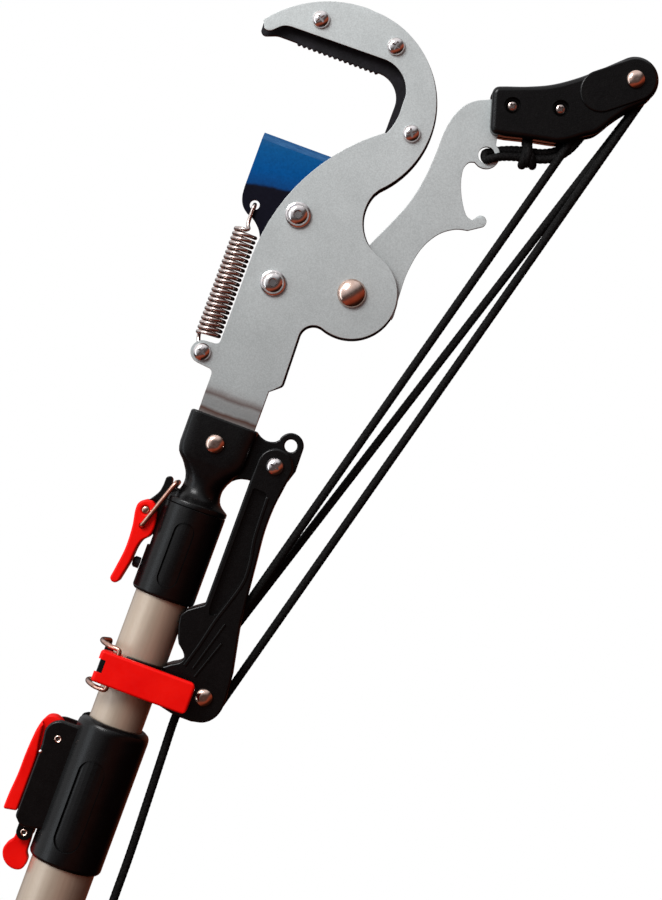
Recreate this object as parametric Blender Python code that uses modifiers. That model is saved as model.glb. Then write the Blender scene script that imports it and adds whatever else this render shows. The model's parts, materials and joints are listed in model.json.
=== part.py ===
"""Telescopic pole pruner: a sliding blade head, pulled by a rope, on a two-section pole.

Sizes are in millimetres and turned into metres where an object is made. Z runs up the pole, X towards
the lever and Y away from the front. Head pieces are placed in the head frame, whose zero is the top of
the pole socket.
"""
import math

import bmesh
import bpy
from mathutils import Vector

MM = 0.001
ARC_STEP = 15.0
SEAT = 0.3
PLAY = 0.3

# Pole
OUTER_TUBE_DIAMETER = 30.0
OUTER_TUBE_WALL = 1.2
OUTER_TUBE_LENGTH = 900.0
INNER_TUBE_DIAMETER = 25.0
INNER_TUBE_WALL = 1.2
FOOT_HEIGHT = 14.0
CAP_BASE = 4.0
CAP_WALL = 2.2
CAP_HEIGHT = 34.0
GRIP_LENGTH = 150.0
GRIP_WALL = 3.0
GRIP_RIB_COUNT = 3

# Pole lock, the collar with the cam lever
POLE_LOCK_HEIGHT = 68.0
POLE_LOCK_WALL = 1.8
POLE_LOCK_NOSE = 8.0
POLE_LOCK_PIN = (-21.6, -14.4)
POLE_LOCK_EAR_RADIUS = 7.0
POLE_LOCK_BOX_HALF = 9.0
POLE_LOCK_SLOT_HALF = 5.0
POLE_LOCK_LEVER_HALF = 7.0
CATCH_PIN = (-21.6, -59.9)
CATCH_HALF = 3.0
CATCH_EAR_HALF = 6.2

# Head lock, the collar with the toggle lever and bail
HEAD_STANDOFF = 151.0
HEAD_LOCK_TOP = -46.6
HEAD_LOCK_BOTTOM = -89.4
HEAD_LOCK_WALL = 2.0
TOGGLE_PIN = (-20.4, -54.6)
TOGGLE_BAIL_END = (-19.6, -61.8)
TOGGLE_CATCH = (-11.5, -38.0)
TOGGLE_HALF = 7.0
TOGGLE_EAR_HALF = 2.2
BAIL_WIRE = 2.2

# Head socket
SOCKET_TOP = -3.9
SOCKET_HALF_WIDTH = 16.1
SOCKET_HALF_DEPTH = 10.5
NECK_RADIUS = 9.0
SPIGOT_LENGTH = 20.0
SOCKET_RIVET = (-1.0, -15.6)
LUG_HALF = 3.0
EAR_CENTRE = (31.2, -4.6)
EAR_RADIUS = 5.9
EAR_HOLE = 5.8

# Blade and plates
PLATE_THICKNESS = 2.5
BLADE_THICKNESS = 3.0
JOGGLE_TOP = 5.8
JOGGLE_BOTTOM = -1.0
TANG_BOTTOM = -29.0
BLADE_TOP = 125.6
BLADE_LEFT = -29.6
BLADE_STROKE = 44.4
ANVIL_HEIGHT = 169.3
ANVIL_LEFT = -30.0
ANVIL_TEETH = 16
ANVIL_TOOTH_PITCH = 2.5
ANVIL_TOOTH_DEPTH = 0.9
GUIDE_X = -2.0
GUIDE_HEIGHTS = (62.1, 95.0)
GUIDE_SLEEVE = 8.0
HOOK_SCREWS = {
    "tip": (-23.0, ANVIL_HEIGHT + 12.7),
    "top": (13.2, ANVIL_HEIGHT + 12.9),
    "back": (33.5, ANVIL_HEIGHT - 21.8),
}
HOOK_TIP_ARC = (-4.0, ANVIL_HEIGHT - 30.3, 55.2)
HOOK_BACK_ARC = (-2.0, ANVIL_HEIGHT - 19.3, 43.9)
THROAT_ARC = (-1.0, ANVIL_HEIGHT - 14.3, 26.3)
THROAT_TOP_ARC = (10.3, ANVIL_HEIGHT - 9.3, 15.0)
ANVIL_THROAT_ARC = (9.9, ANVIL_HEIGHT - 12.0, 12.0)
FRONT_LIP = ((-37.5, 5.0), (-41.5, 1.1), (-38.5, 4.0), (-43.6, -0.9), (-48.6, 1.3))
ANVIL_LIP = ((-39.6, 0.0), (-43.0, -1.5), (-40.0, 0.0), (-46.0, -2.7), (-48.7, 1.7))
LEFT_EDGE_ARC = (76.1, 70.0, 91.4)
WAIST_ARC = (45.6, 108.5, 20.0)
CREST_ARC = (24.2, 43.8, 7.0)
SHOULDER_RIGHT = ((17.3, 42.0), (17.9, 19.4), (13.2, 15.2))
SHOULDER_LEFT = ((-13.9, 11.5), (-14.1, 15.4), (-18.5, 16.2))
SPRING_LUG_RADIUS = 5.3
SPRING_LUG_TOP = ((-20.0, 27.0), (-15.3, 27.4), (-15.3, 32.0))
TANG_SIDES = (-13.9, 13.3)
SPRING_POST = (-21.4, 21.6)
SPRING_EYE = (-22.3, 92.8)

# Lever drive
PIVOT = (33.2, 70.0)
LOBE_RADIUS = 20.7
BUSH_DIAMETER = 11.0
GEAR_MODULE = 1.5
GEAR_TEETH = 25
GEAR_FIRST, GEAR_LAST = -1, 10
RACK_TEETH = 13
PRESSURE_ANGLE = math.radians(20.0)
BACKLASH = 0.15
RING_CENTRE = (69.0, 150.6)
RING_HOLE = 7.6
RING_RADIUS = 6.2
LEVER_BASE = (49.6, 65.4)
LEVER_FRONT = ((54.5, 65.2), (54.7, 68.0), (53.9, 77.0), (53.7, 88.0), (55.8, 100.0), (60.6, 108.8),
               (67.0, 113.8), (73.0, 115.5))
LEVER_HORN = (76.9, 121.3, 2.7)
LEVER_THROAT = ((73.0, 120.4), (69.5, 122.0), (65.4, 128.0), (62.4, 135.0), (61.3, 141.0), (62.6, 144.6),
                (65.0, 145.7))
LEVER_END = ((70.8, 159.5), (73.0, 165.5), (91.0, 172.6), (98.5, 177.5), (99.0, 184.5), (93.0, 188.0),
             (66.5, 177.8))
LEVER_BACK = ((61.0, 174.6), (56.0, 172.2), (51.8, 168.3), (48.8, 162.0), (47.3, 154.0), (47.1, 143.0),
              (46.2, 131.0), (43.8, 119.0), (39.6, 108.0), (35.6, 99.2), (33.0, 93.5))
LEVER_HEEL = (30.6, 89.5)
HUB_RADIUS = 15.9

# Upper arm and lower bracket with their sheaves
UPPER_AXLE = (120.3, 204.9)
LOWER_AXLE = (33.8, -125.0)
ARM_END_RADIUS = 10.8
ARM_LOWER_CORNER = ((62.6, 172.0), (67.0, 160.0), (72.0, 160.2))
ARM_LOWER = ((74.0, 160.8), (86.0, 163.8), (97.0, 166.2), (103.0, 169.4), (107.5, 173.0), (112.0, 176.0),
             (115.0, 180.2), (117.2, 184.0), (122.0, 190.5), (128.6, 196.8))
ARM_UPPER = ((105.4, 205.6), (96.0, 197.3), (86.0, 190.3), (76.0, 185.6), (66.5, 182.2))
ARM_UPPER_CORNER = ((66.5, 182.2), (61.2, 180.2), (62.0, 174.0))
ARM_HOLLOW = ((96.6, 160.0), (96.6, 172.0), (101.0, 177.0), (103.5, 196.0), (114.0, 222.0), (140.0, 222.0),
              (140.0, 160.0))
ARM_PAD_INNER = (107.5, 194.6)
ARM_SCREWS = {"inner": (72.2, 174.7), "outer": (93.1, 181.0)}
CHEEK_WALL = 2.8
CHEEK_PAD = 0.9
BRACKET_SCREW = (27.8, -15.9)
BRACKET_HEAD_RADIUS = 8.2
BRACKET_HALF = 8.7
BRACKET_NECK = (19.4, -26.0)
BRACKET_STEP = ((19.5, -80.0), (19.7, -85.6), (15.0, -87.6))
BRACKET_WING = ((12.6, -90.4), (10.6, -93.8), (11.6, -98.8), (13.4, -103.9))
BRACKET_HEEL = ((14.6, -106.2), (17.8, -109.0), (19.0, -111.5), (17.6, -114.0), (14.4, -116.0))
BRACKET_FOOT = ((22.0, -136.9), (27.0, -137.3))
BRACKET_TOE = ((32.0, -137.3), (37.6, -135.8), (41.4, -132.4), (43.3, -127.6), (43.4, -122.0))
BRACKET_BACK = ((42.4, -111.5), (40.2, -100.8), (38.0, -89.0), (36.4, -74.5), (35.0, -60.0), (33.6, -46.0),
                (33.7, -34.0), (34.8, -25.0))
BRACKET_CHANNEL = ((21.3, -145.0), (21.3, -121.0), (24.4, -108.0), (33.0, -76.0), (33.6, -68.0),
                   (60.0, -68.0), (60.0, -145.0))
BRACKET_POCKET = ((30.4, -29.0, 2.0), (32.3, -66.0, 3.0), (26.9, -88.6, 3.0), (22.6, -88.6, 3.0),
                  (22.2, -29.0, 2.0))
ROPE_DIAMETER = 4.0
ROPE_WRAP_RADIUS = 8.0
SHEAVE_WIDTH = 5.4
SHEAVE_RADIUS = 9.3
AXLE_DIAMETER = 5.0

# Clamp band round the inner tube
BAND_TOP = -118.6
BAND_BOTTOM = -134.4
BAND_WALL = 3.0
CLAMP_PIVOT = (-10.0, -13.4)
CLAMP_BAIL_END = (-8.5, -18.2)
CLAMP_CATCH = (-15.7, 8.0)
CLAMP_LEVER_TOP = -119.2
CLAMP_LEVER_BOTTOM = -134.0
CLAMP_LEVER_RIGHT = 28.8

# Return spring
SPRING_TURNS = 22
SPRING_WIRE = 1.8
SPRING_MEAN_RADIUS = 5.0
SPRING_BOTTOM = 29.6
SPRING_TOP = 80.4
CURL_POINTS = 8

# Pull handle on the end of the rope
HANDLE_HEIGHT = 330.0
HANDLE_LENGTH = 84.0
HANDLE_RADIUS = 11.0
HANDLE_X = 33.0

# Worked out from the sizes above
OUTER_RADIUS = OUTER_TUBE_DIAMETER / 2
INNER_RADIUS = INNER_TUBE_DIAMETER / 2
OUTER_TUBE_BOTTOM = CAP_BASE + SEAT
OUTER_TUBE_TOP = OUTER_TUBE_BOTTOM + OUTER_TUBE_LENGTH
POLE_LOCK_TOP = OUTER_TUBE_TOP + POLE_LOCK_NOSE
HEAD_HEIGHT = POLE_LOCK_TOP + HEAD_STANDOFF
PITCH_RADIUS = GEAR_MODULE * GEAR_TEETH / 2
TOOTH_PITCH = math.pi * GEAR_MODULE
RACK_LINE = PIVOT[0] - PITCH_RADIUS
PLATE_IN = BLADE_THICKNESS / 2 + PLAY
PLATE_OUT = PLATE_IN + PLATE_THICKNESS
JOGGLE = PLATE_IN - SEAT / 2
JOGGLE_GAP = SEAT / 2 + 0.2
SHEAVE_Y = SHEAVE_WIDTH / 2 + SEAT / 2
CHEEK_IN = SHEAVE_WIDTH + SEAT * 1.5
CHEEK_OUT = CHEEK_IN + CHEEK_WALL
BORE_RADIUS = INNER_RADIUS + PLAY
HEAD_LOCK_RADIUS = BORE_RADIUS + HEAD_LOCK_WALL
POLE_LOCK_RADIUS = OUTER_RADIUS + PLAY + POLE_LOCK_WALL

WHITE_STEEL = ("silver_plate", (0.62, 0.62, 0.61), 0.5, 0.55)
BLACK_STEEL = ("black_plate", (0.02, 0.02, 0.022), 0.45, 0.4)
BLUE_STEEL = ("blue_blade", (0.0, 0.09, 0.32), 0.35, 0.3)
NICKEL = ("nickel", (0.75, 0.72, 0.68), 0.2, 1.0)
SPRING_STEEL = ("spring_steel", (0.6, 0.56, 0.52), 0.3, 1.0)
BLACK_PLASTIC = ("black_plastic", (0.02, 0.02, 0.02), 0.45, 0.0)
RED_PLASTIC = ("red_plastic", (0.85, 0.05, 0.02), 0.35, 0.0)
ALUMINIUM = ("tube_aluminium", (0.72, 0.66, 0.6), 0.35, 0.9)
RUBBER = ("black_rubber", (0.03, 0.03, 0.03), 0.8, 0.0)
ROPE = ("black_rope", (0.015, 0.015, 0.015), 0.9, 0.0)


# Scene and frames

def start_scene():
    for obj in list(bpy.data.objects):
        bpy.data.objects.remove(obj)
    parts = bpy.data.collections.new("telescopic_pole_pruner")
    cutters = bpy.data.collections.new("cutters")
    for collection in (parts, cutters):
        bpy.context.scene.collection.children.link(collection)
    return parts, cutters


def add_frame(name, height):
    frame = bpy.data.objects.new(name, None)
    frame.location = (0, 0, height * MM)
    frame.empty_display_size = 0.02
    PARTS.objects.link(frame)
    return frame


def finish_material(spec):
    name, colour, roughness, metallic = spec
    found = bpy.data.materials.get(name)
    if found:
        return found
    material = bpy.data.materials.new(name)
    material.use_nodes = True
    shader = material.node_tree.nodes["Principled BSDF"]
    shader.inputs["Base Color"].default_value = (*colour, 1)
    shader.inputs["Roughness"].default_value = roughness
    shader.inputs["Metallic"].default_value = metallic
    return material


# Outlines

def arc(centre, radius, start, end):
    """Points along an arc, angles in degrees, counter-clockwise from start when end is larger."""
    count = max(2, math.ceil(abs(end - start) / ARC_STEP))
    angles = [math.radians(start + (end - start) * i / count) for i in range(count + 1)]
    return [(centre[0] + radius * math.cos(a), centre[1] + radius * math.sin(a)) for a in angles]


def ring_arc(ring, start, end):
    """Arc of a ring given as (centre x, centre z, radius)."""
    return arc(ring[:2], ring[2], start, end)


def circle(centre, radius, count=12):
    angles = [2 * math.pi * i / count for i in range(count)]
    return [(centre[0] + radius * math.cos(a), centre[1] + radius * math.sin(a)) for a in angles]


def flow(points, steps=3):
    """A smooth Catmull-Rom run through points, in two or three dimensions."""
    knots = [Vector(p) for p in points]
    knots = [2 * knots[0] - knots[1], *knots, 2 * knots[-1] - knots[-2]]
    run = []
    for a, b, c, d in zip(knots, knots[1:], knots[2:], knots[3:]):
        for i in range(steps):
            t = i / steps
            run.append(0.5 * (2 * b + (c - a) * t + (2 * a - 5 * b + 4 * c - d) * t**2
                              + (3 * b - a - 3 * c + d) * t**3))
    return [tuple(p) for p in run] + [tuple(points[-1])]


def bend(before, corner, after, reach, steps=4):
    """A quadratic bend that takes reach off both legs of a corner."""
    a, p, c = Vector(before), Vector(corner), Vector(after)
    start = p + (a - p).normalized() * min(reach, (a - p).length * 0.49)
    end = p + (c - p).normalized() * min(reach, (c - p).length * 0.49)
    shares = [i / steps for i in range(steps + 1)]
    return [tuple(start.lerp(p, t).lerp(p.lerp(end, t), t)) for t in shares]


def rounded(corners):
    """Closed outline from corners (x, z, reach), each rounded by its reach."""
    run = []
    for i, (x, z, reach) in enumerate(corners):
        before, after = corners[i - 1][:2], corners[(i + 1) % len(corners)][:2]
        run += bend(before, (x, z), after, reach, 3) if reach else [(x, z)]
    return run


def slot_outline(x, low, high, half):
    """Vertical slot with round ends between the centres low and high."""
    return arc((x, high), half, 0, 180) + arc((x, low), half, 180, 360)


# Solids

def put(obj, frame, spec, collection=None):
    (collection or PARTS).objects.link(obj)
    obj.parent = frame
    if spec:
        obj.data.materials.clear()
        obj.data.materials.append(finish_material(spec))
    return obj


def solid_from(obj, name, frame, spec, smooth=35.0):
    """Mesh object made from a curve object, with its caps welded and faces pointing out."""
    bpy.context.view_layer.update()
    graph = bpy.context.evaluated_depsgraph_get()
    mesh = bpy.data.meshes.new_from_object(obj.evaluated_get(graph))
    mesh.name = name
    mesh.transform(obj.matrix_world)
    bm = bmesh.new()
    bm.from_mesh(mesh)
    bmesh.ops.remove_doubles(bm, verts=bm.verts, dist=0.000005)
    bmesh.ops.recalc_face_normals(bm, faces=bm.faces)
    bm.to_mesh(mesh)
    bm.free()
    bpy.data.objects.remove(obj)
    made = put(bpy.data.objects.new(name, mesh), frame, spec)
    shade(mesh, smooth)
    return made


def shade(mesh, smooth):
    mesh.shade_smooth()
    mesh.set_sharp_from_angle(angle=math.radians(smooth))


def extruded(name, loops, low, high, frame, spec, plan=False):
    """Flat outline given thickness along Y, or along Z where plan is set; the first loop is outside."""
    curve = bpy.data.curves.new(name, "CURVE")
    curve.dimensions = "2D"
    curve.fill_mode = "BOTH"
    curve.extrude = (high - low) / 2 * MM
    for loop in loops:
        spline = curve.splines.new("POLY")
        spline.points.add(len(loop) - 1)
        for point, (u, v) in zip(spline.points, loop):
            point.co = (u * MM, v * MM, 0, 1)
        spline.use_cyclic_u = True
    flat = bpy.data.objects.new(name + "_outline", curve)
    middle = (low + high) / 2 * MM
    flat.location = (0, 0, middle) if plan else (0, middle, 0)
    flat.rotation_euler = (0, 0, 0) if plan else (math.pi / 2, 0, 0)
    PARTS.objects.link(flat)
    return solid_from(flat, name, frame, spec)


def turned(name, profile, frame, spec, centre=(0, 0, 0), along="Z", steps=20):
    """Profile (radius, height) turned about an axis through centre, from its top down the outside."""
    mesh = bpy.data.meshes.new(name)
    verts = [(r * MM, 0, h * MM) for r, h in profile]
    closed = profile[0][0] > 0
    edges = [(i, i + 1) for i in range(len(verts) - 1)] + ([(len(verts) - 1, 0)] if closed else [])
    mesh.from_pydata(verts, edges, [])
    obj = put(bpy.data.objects.new(name, mesh), frame, spec)
    obj.location = Vector(centre) * MM
    turns = {"Z": (0, 0, 0), "-Y": (math.pi / 2, 0, 0), "-X": (0, -math.pi / 2, 0)}
    obj.rotation_euler = turns[along]
    screw = obj.modifiers.new("turn", "SCREW")
    screw.steps = steps
    screw.render_steps = steps
    screw.use_merge_vertices = True
    screw.merge_threshold = 0.000005
    screw.use_smooth_shade = True
    return obj


def ring_profile(inner, outer, low, high):
    return [(outer, high), (outer, low), (inner, low), (inner, high)]


def tube(name, points, diameter, frame, spec, resolution=2):
    """Round bar or rope along points in three dimensions."""
    curve = bpy.data.curves.new(name, "CURVE")
    curve.dimensions = "3D"
    curve.bevel_depth = diameter / 2 * MM
    curve.bevel_resolution = resolution
    curve.use_fill_caps = True
    spline = curve.splines.new("POLY")
    spline.points.add(len(points) - 1)
    for point, place in zip(spline.points, points):
        point.co = (*(Vector(place) * MM), 1)
    path = bpy.data.objects.new(name + "_path", curve)
    PARTS.objects.link(path)
    return solid_from(path, name, frame, spec, 60.0)


def block(name, low, high, frame, spec):
    bpy.ops.mesh.primitive_cube_add(size=1)
    obj = bpy.context.object
    for collection in obj.users_collection:
        collection.objects.unlink(obj)
    obj.name = name
    low, high = Vector(low) * MM, Vector(high) * MM
    size, middle = high - low, (low + high) / 2
    for vert in obj.data.vertices:
        vert.co = Vector((vert.co.x * size.x, vert.co.y * size.y, vert.co.z * size.z)) + middle
    return put(obj, frame, spec)


def as_tool(obj):
    """Turn an object into a hidden cutter or a piece to join."""
    for collection in obj.users_collection:
        collection.objects.unlink(obj)
    CUTTERS.objects.link(obj)
    obj.hide_render = True
    obj.display_type = "WIRE"
    return obj


def combine(obj, tool, operation):
    change = obj.modifiers.new(tool.name, "BOOLEAN")
    change.operation = operation
    change.solver = "EXACT"
    change.object = as_tool(tool)
    return obj


def cut(obj, *tools):
    for tool in tools:
        combine(obj, tool, "DIFFERENCE")
    return obj


def join(obj, *tools):
    for tool in tools:
        combine(obj, tool, "UNION")
    return obj


def hinge_at(obj, point):
    """Move the origin of an object to a point of its frame, leaving its shape in place."""
    step = Vector(point) * MM - obj.location
    for vert in obj.data.vertices:
        vert.co -= step
    obj.location += step
    return obj


def rod_tool(name, centre, radius, low, high, frame, plan=False):
    """Cutter cylinder along Y, or along Z where plan is set."""
    return extruded(name, [circle(centre, radius, 12 if radius < 6 else 28)], low, high, frame, None, plan)


# Fasteners

def dome(radius, height, count=3):
    """Profile of a domed head from its crown down to its rim, heights above the seat."""
    angles = [math.pi / 2 * i / count for i in range(count + 1)]
    return [(radius * math.sin(a), height * math.cos(a)) for a in angles]


def headed_pin(name, centre, head_radius, head_height, shank_radius, seat, end, frame, spec, tail=None):
    """Domed head in front of y = -seat, a shank back to y = end and, for a rivet, a formed tail there."""
    profile = dome(head_radius, head_height)
    length = end + seat
    if tail:
        profile += [(shank_radius, 0), (shank_radius, -length)]
        profile += [(r, -length - h) for r, h in reversed(dome(tail, head_height * 0.7, 2))]
    else:
        profile += [(shank_radius, 0), (shank_radius, -length), (0, -length)]
    steps = 16 if head_radius > 4.5 else 12
    return turned(name, profile, frame, spec, (centre[0], -seat, centre[1]), "-Y", steps)


# Plates

def hook_outline(inner):
    """Outside of both plates, anticlockwise from the throat corner; inner is the run inside the hook."""
    left, right = TANG_SIDES
    outline = list(inner)
    outline += ring_arc(HOOK_TIP_ARC, 142.0, 92.0)
    outline += ring_arc(HOOK_BACK_ARC, 88.0, -45.0)
    outline += [p for p in ring_arc(WAIST_ARC, 157.0, 232.0) if p[1] < outline[-1][1]]
    outline += arc(PIVOT, LOBE_RADIUS, 75.0, -109.0)
    outline += ring_arc(CREST_ARC, 80.0, 180.0)
    outline += bend(*SHOULDER_RIGHT, 1.5)
    outline += [SHOULDER_RIGHT[2], (right, TANG_BOTTOM), (left, TANG_BOTTOM), SHOULDER_LEFT[0]]
    outline += bend(*SHOULDER_LEFT, 2.2)
    outline += arc(SPRING_POST, SPRING_LUG_RADIUS, -95.0, -262.0)
    outline += bend(*SPRING_LUG_TOP, 2.5)
    outline += [p for p in ring_arc(LEFT_EDGE_ARC, 180.0, 126.6) if p[1] < inner[0][1]]
    return outline


def front_inner():
    """Inside of the front plate's hook, from the throat to the tip."""
    lip = [(x, ANVIL_HEIGHT + rise) for x, rise in FRONT_LIP]
    run = ring_arc(THROAT_ARC, -25.0, 6.0)
    run += ring_arc(THROAT_TOP_ARC, 10.0, 90.0)
    run += bend(run[-1], lip[0], lip[1], 4.0)
    run += bend(*lip[2:], 2.5)
    return run


def anvil_inner():
    """Inside of the counter plate's hook, with its row of small teeth."""
    lip = [(x, ANVIL_HEIGHT + rise) for x, rise in ANVIL_LIP]
    run = ring_arc(ANVIL_THROAT_ARC, 0.0, 90.0)
    run = [(run[0][0], THROAT_ARC[1] - 12.0)] + run
    for i in range(ANVIL_TEETH):
        right = ANVIL_LEFT + ANVIL_TOOTH_PITCH * (ANVIL_TEETH - i)
        run += [(right - ANVIL_TOOTH_PITCH * 0.2, ANVIL_HEIGHT),
                (right - ANVIL_TOOTH_PITCH * 0.6, ANVIL_HEIGHT - ANVIL_TOOTH_DEPTH)]
    run += [(ANVIL_LEFT, ANVIL_HEIGHT)]
    run += bend((ANVIL_LEFT, ANVIL_HEIGHT), lip[0], lip[1], 2.0)
    run += bend(*lip[2:], 2.5)
    return run


def joggle_plate(obj, side):
    """Step the tang towards the middle plane between the two bend lines."""
    bm = bmesh.new()
    bm.from_mesh(obj.data)
    for height in (JOGGLE_TOP, JOGGLE_BOTTOM):
        geometry = bm.verts[:] + bm.edges[:] + bm.faces[:]
        place = (0, 0, height * MM)
        bmesh.ops.bisect_plane(bm, geom=geometry, dist=1e-7, plane_co=place, plane_no=(0, 0, 1))
    for vert in bm.verts:
        drop = (JOGGLE_TOP - vert.co.z / MM) / (JOGGLE_TOP - JOGGLE_BOTTOM)
        vert.co.y -= side * JOGGLE * MM * min(1.0, max(0.0, drop))
    bm.to_mesh(obj.data)
    bm.free()


def build_plates(head):
    bolt_holes = [circle(place, 2.3, 10) for place in HOOK_SCREWS.values()]
    guide_holes = [circle((GUIDE_X, z), 3.3, 12) for z in GUIDE_HEIGHTS]
    sleeve_holes = [circle((GUIDE_X, z), GUIDE_SLEEVE / 2 + PLAY, 12) for z in GUIDE_HEIGHTS]
    shared = [circle(PIVOT, 4.3), circle(SPRING_POST, 2.3, 10), circle(SOCKET_RIVET, 2.9)]
    front_loops = [hook_outline(front_inner()), *bolt_holes, *guide_holes, *shared]
    front = extruded("front_plate", front_loops, -PLATE_OUT, -PLATE_IN, head, WHITE_STEEL)
    joggle_plate(front, -1)
    back_loops = [hook_outline(anvil_inner()), *bolt_holes, *sleeve_holes, *shared]
    counter = extruded("counter_plate", back_loops, PLATE_IN, PLATE_OUT, head, BLACK_STEEL)
    joggle_plate(counter, 1)


def build_hook_fasteners(head):
    spacer_half = PLATE_IN - SEAT
    spacer = [(3.5, spacer_half), (3.5, -spacer_half), (2.3, -spacer_half), (2.3, spacer_half)]
    seat, end = PLATE_OUT + SEAT, PLATE_OUT + 0.6
    for label, (x, z) in HOOK_SCREWS.items():
        headed_pin("hook_screw_" + label, (x, z), 4.1, 2.5, 2.0, seat, end, head, NICKEL)
        turned("hook_spacer_" + label, spacer, head, NICKEL, (x, 0, z), "-Y", 12)
    headed_pin("spring_screw", SPRING_POST, 4.1, 2.5, 2.0, seat, end, head, NICKEL)


def build_guides(head):
    """Guide bolts from the front and the flanged sleeve nuts that the blade's slot runs on."""
    front_gap = PLATE_IN - SEAT
    back = PLATE_OUT + SEAT
    sleeve = GUIDE_SLEEVE / 2
    for label, z in zip(("lower", "upper"), GUIDE_HEIGHTS):
        bolt = headed_pin("guide_bolt_" + label, (GUIDE_X, z), 5.9, 3.3, 2.8, back, back + 3.2, head, NICKEL)
        hexagon = [circle((GUIDE_X, z), 2.3, 6)]
        cut(bolt, extruded("guide_hex_" + label, hexagon, -back - 5, -back - 1.4, head, None))
        nut = extruded("guide_sleeve_" + label, [circle((GUIDE_X, z), 6.4, 6), circle((GUIDE_X, z), 3.1)],
                       back, back + 4.0, head, NICKEL)
        pipe = extruded("guide_pipe_" + label, [circle((GUIDE_X, z), sleeve), circle((GUIDE_X, z), 3.1)],
                        -front_gap, back + 1.0, head, None)
        join(nut, pipe)


# Blade and spring

def rack_run():
    """Right edge of the blade's shank with its rack teeth, from top to bottom."""
    tip, root = GEAR_MODULE, 1.25 * GEAR_MODULE
    half = TOOTH_PITCH / 4 - BACKLASH
    slope = math.tan(PRESSURE_ANGLE)
    run = []
    for k in range(-1, RACK_TEETH - 1):
        z = PIVOT[1] - TOOTH_PITCH * k
        run += [(RACK_LINE - root, z + half + root * slope), (RACK_LINE + tip, z + half - tip * slope),
                (RACK_LINE + tip, z - half + tip * slope), (RACK_LINE - root, z - half - root * slope)]
    return run


def build_blade(head):
    left, bottom = -13.0, 8.8
    root_x = RACK_LINE - 1.25 * GEAR_MODULE
    slot_half = GUIDE_SLEEVE / 2 + PLAY
    outline = [(11.0, BLADE_TOP), (BLADE_LEFT, BLADE_TOP)]
    outline += flow([(BLADE_LEFT + 0.1, 99.0), (-29.0, 94.6), (-27.4, 90.8), (-24.6, 88.3), (-21.2, 86.8),
                     (-18.4, 84.6), (-16.2, 82.0), (-14.2, 78.0)])
    outline += [(left, 73.0)] + bend((left, 40), (left, bottom), (0, bottom), 3.0)
    outline += bend((0, bottom), (root_x, bottom), (root_x, 40), 2.0)
    outline += list(reversed(rack_run())) + [(root_x, 80.0), (11.0, 83.0)]
    slot = slot_outline(GUIDE_X, GUIDE_HEIGHTS[0] - BLADE_STROKE - PLAY, GUIDE_HEIGHTS[1] + PLAY, slot_half)
    blade = extruded("blade", [outline, slot, circle(SPRING_EYE, 2.3)], -BLADE_THICKNESS / 2,
                     BLADE_THICKNESS / 2, head, BLUE_STEEL)
    grind_edge(blade)
    hinge_at(blade, (GUIDE_X, 0, GUIDE_HEIGHTS[0]))


def grind_edge(blade, height=3.4, land=0.5):
    """Grind the front of the top edge down to a thin land."""
    bm = bmesh.new()
    bm.from_mesh(blade.data)
    line = (BLADE_TOP - height) * MM
    geometry = bm.verts[:] + bm.edges[:] + bm.faces[:]
    bmesh.ops.bisect_plane(bm, geom=geometry, dist=1e-7, plane_co=(0, 0, line), plane_no=(0, 0, 1))
    for vert in bm.verts:
        if vert.co.z > line + 0.0001 and vert.co.y < 0:
            vert.co.y = (BLADE_THICKNESS / 2 - land) * MM
    bm.to_mesh(blade.data)
    bm.free()


def spring_route():
    """One unbroken wire: hook round the post, the coil, then a leg up to the hook through the blade."""
    reach = 2.0 + SEAT + SPRING_WIRE / 2
    post_x, post_z = SPRING_POST
    eye_x, eye_z = SPRING_EYE
    axis_x = (post_x + eye_x) / 2
    post_hook = [(x, 0.0, z) for x, z in arc(SPRING_POST, reach + 0.2, 50.0, -185.0)]
    lower = [(post_x - reach - 0.1, 0.1, post_z + 3.4), (axis_x - 3.7, 0.9, SPRING_BOTTOM - 2.3)]
    coil = []
    reach_out = SPRING_MEAN_RADIUS
    total = SPRING_TURNS * CURL_POINTS
    for i in range(total + 1):
        angle = math.radians(150.0) + 2 * math.pi * i / CURL_POINTS
        height = SPRING_BOTTOM + (SPRING_TOP - SPRING_BOTTOM) * i / total
        x, y = reach_out * math.cos(angle), reach_out * math.sin(angle)
        coil.append((axis_x + x, y, height))
    front = -(BLADE_THICKNESS / 2 + SEAT + SPRING_WIRE / 2)
    upper = [(axis_x - 2.6, -0.6, SPRING_TOP + 2.0), (eye_x + 0.2, front + 0.2, SPRING_TOP + 3.6)]
    eye_hook = [(eye_x, front, eye_z - 3.0), (eye_x, front + 0.2, eye_z - 1.0), (eye_x, front + 1.4, eye_z),
                (eye_x, 0.0, eye_z + 0.3), (eye_x, -front - 1.4, eye_z), (eye_x, -front - 0.2, eye_z - 1.0),
                (eye_x, -front, eye_z - 3.0), (eye_x, -front, eye_z - 4.8)]
    return post_hook + lower + coil + upper + eye_hook


def least_self_gap(points, diameter, apart):
    """Least gap between stretches of a tube that are more than apart along it."""
    spots = [Vector(p) for p in points]
    along = [0.0]
    for a, b in zip(spots, spots[1:]):
        along.append(along[-1] + (b - a).length)
    least = min((spots[i] - spots[j]).length for i in range(len(spots)) for j in range(i)
                if along[i] - along[j] > apart)
    return least - diameter


def build_spring(head):
    route = spring_route()
    print("return spring: least gap to itself %.2f mm" % least_self_gap(route, SPRING_WIRE, 8.0))
    tube("return_spring", route, SPRING_WIRE, head, SPRING_STEEL, 1)


# Lever

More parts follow.
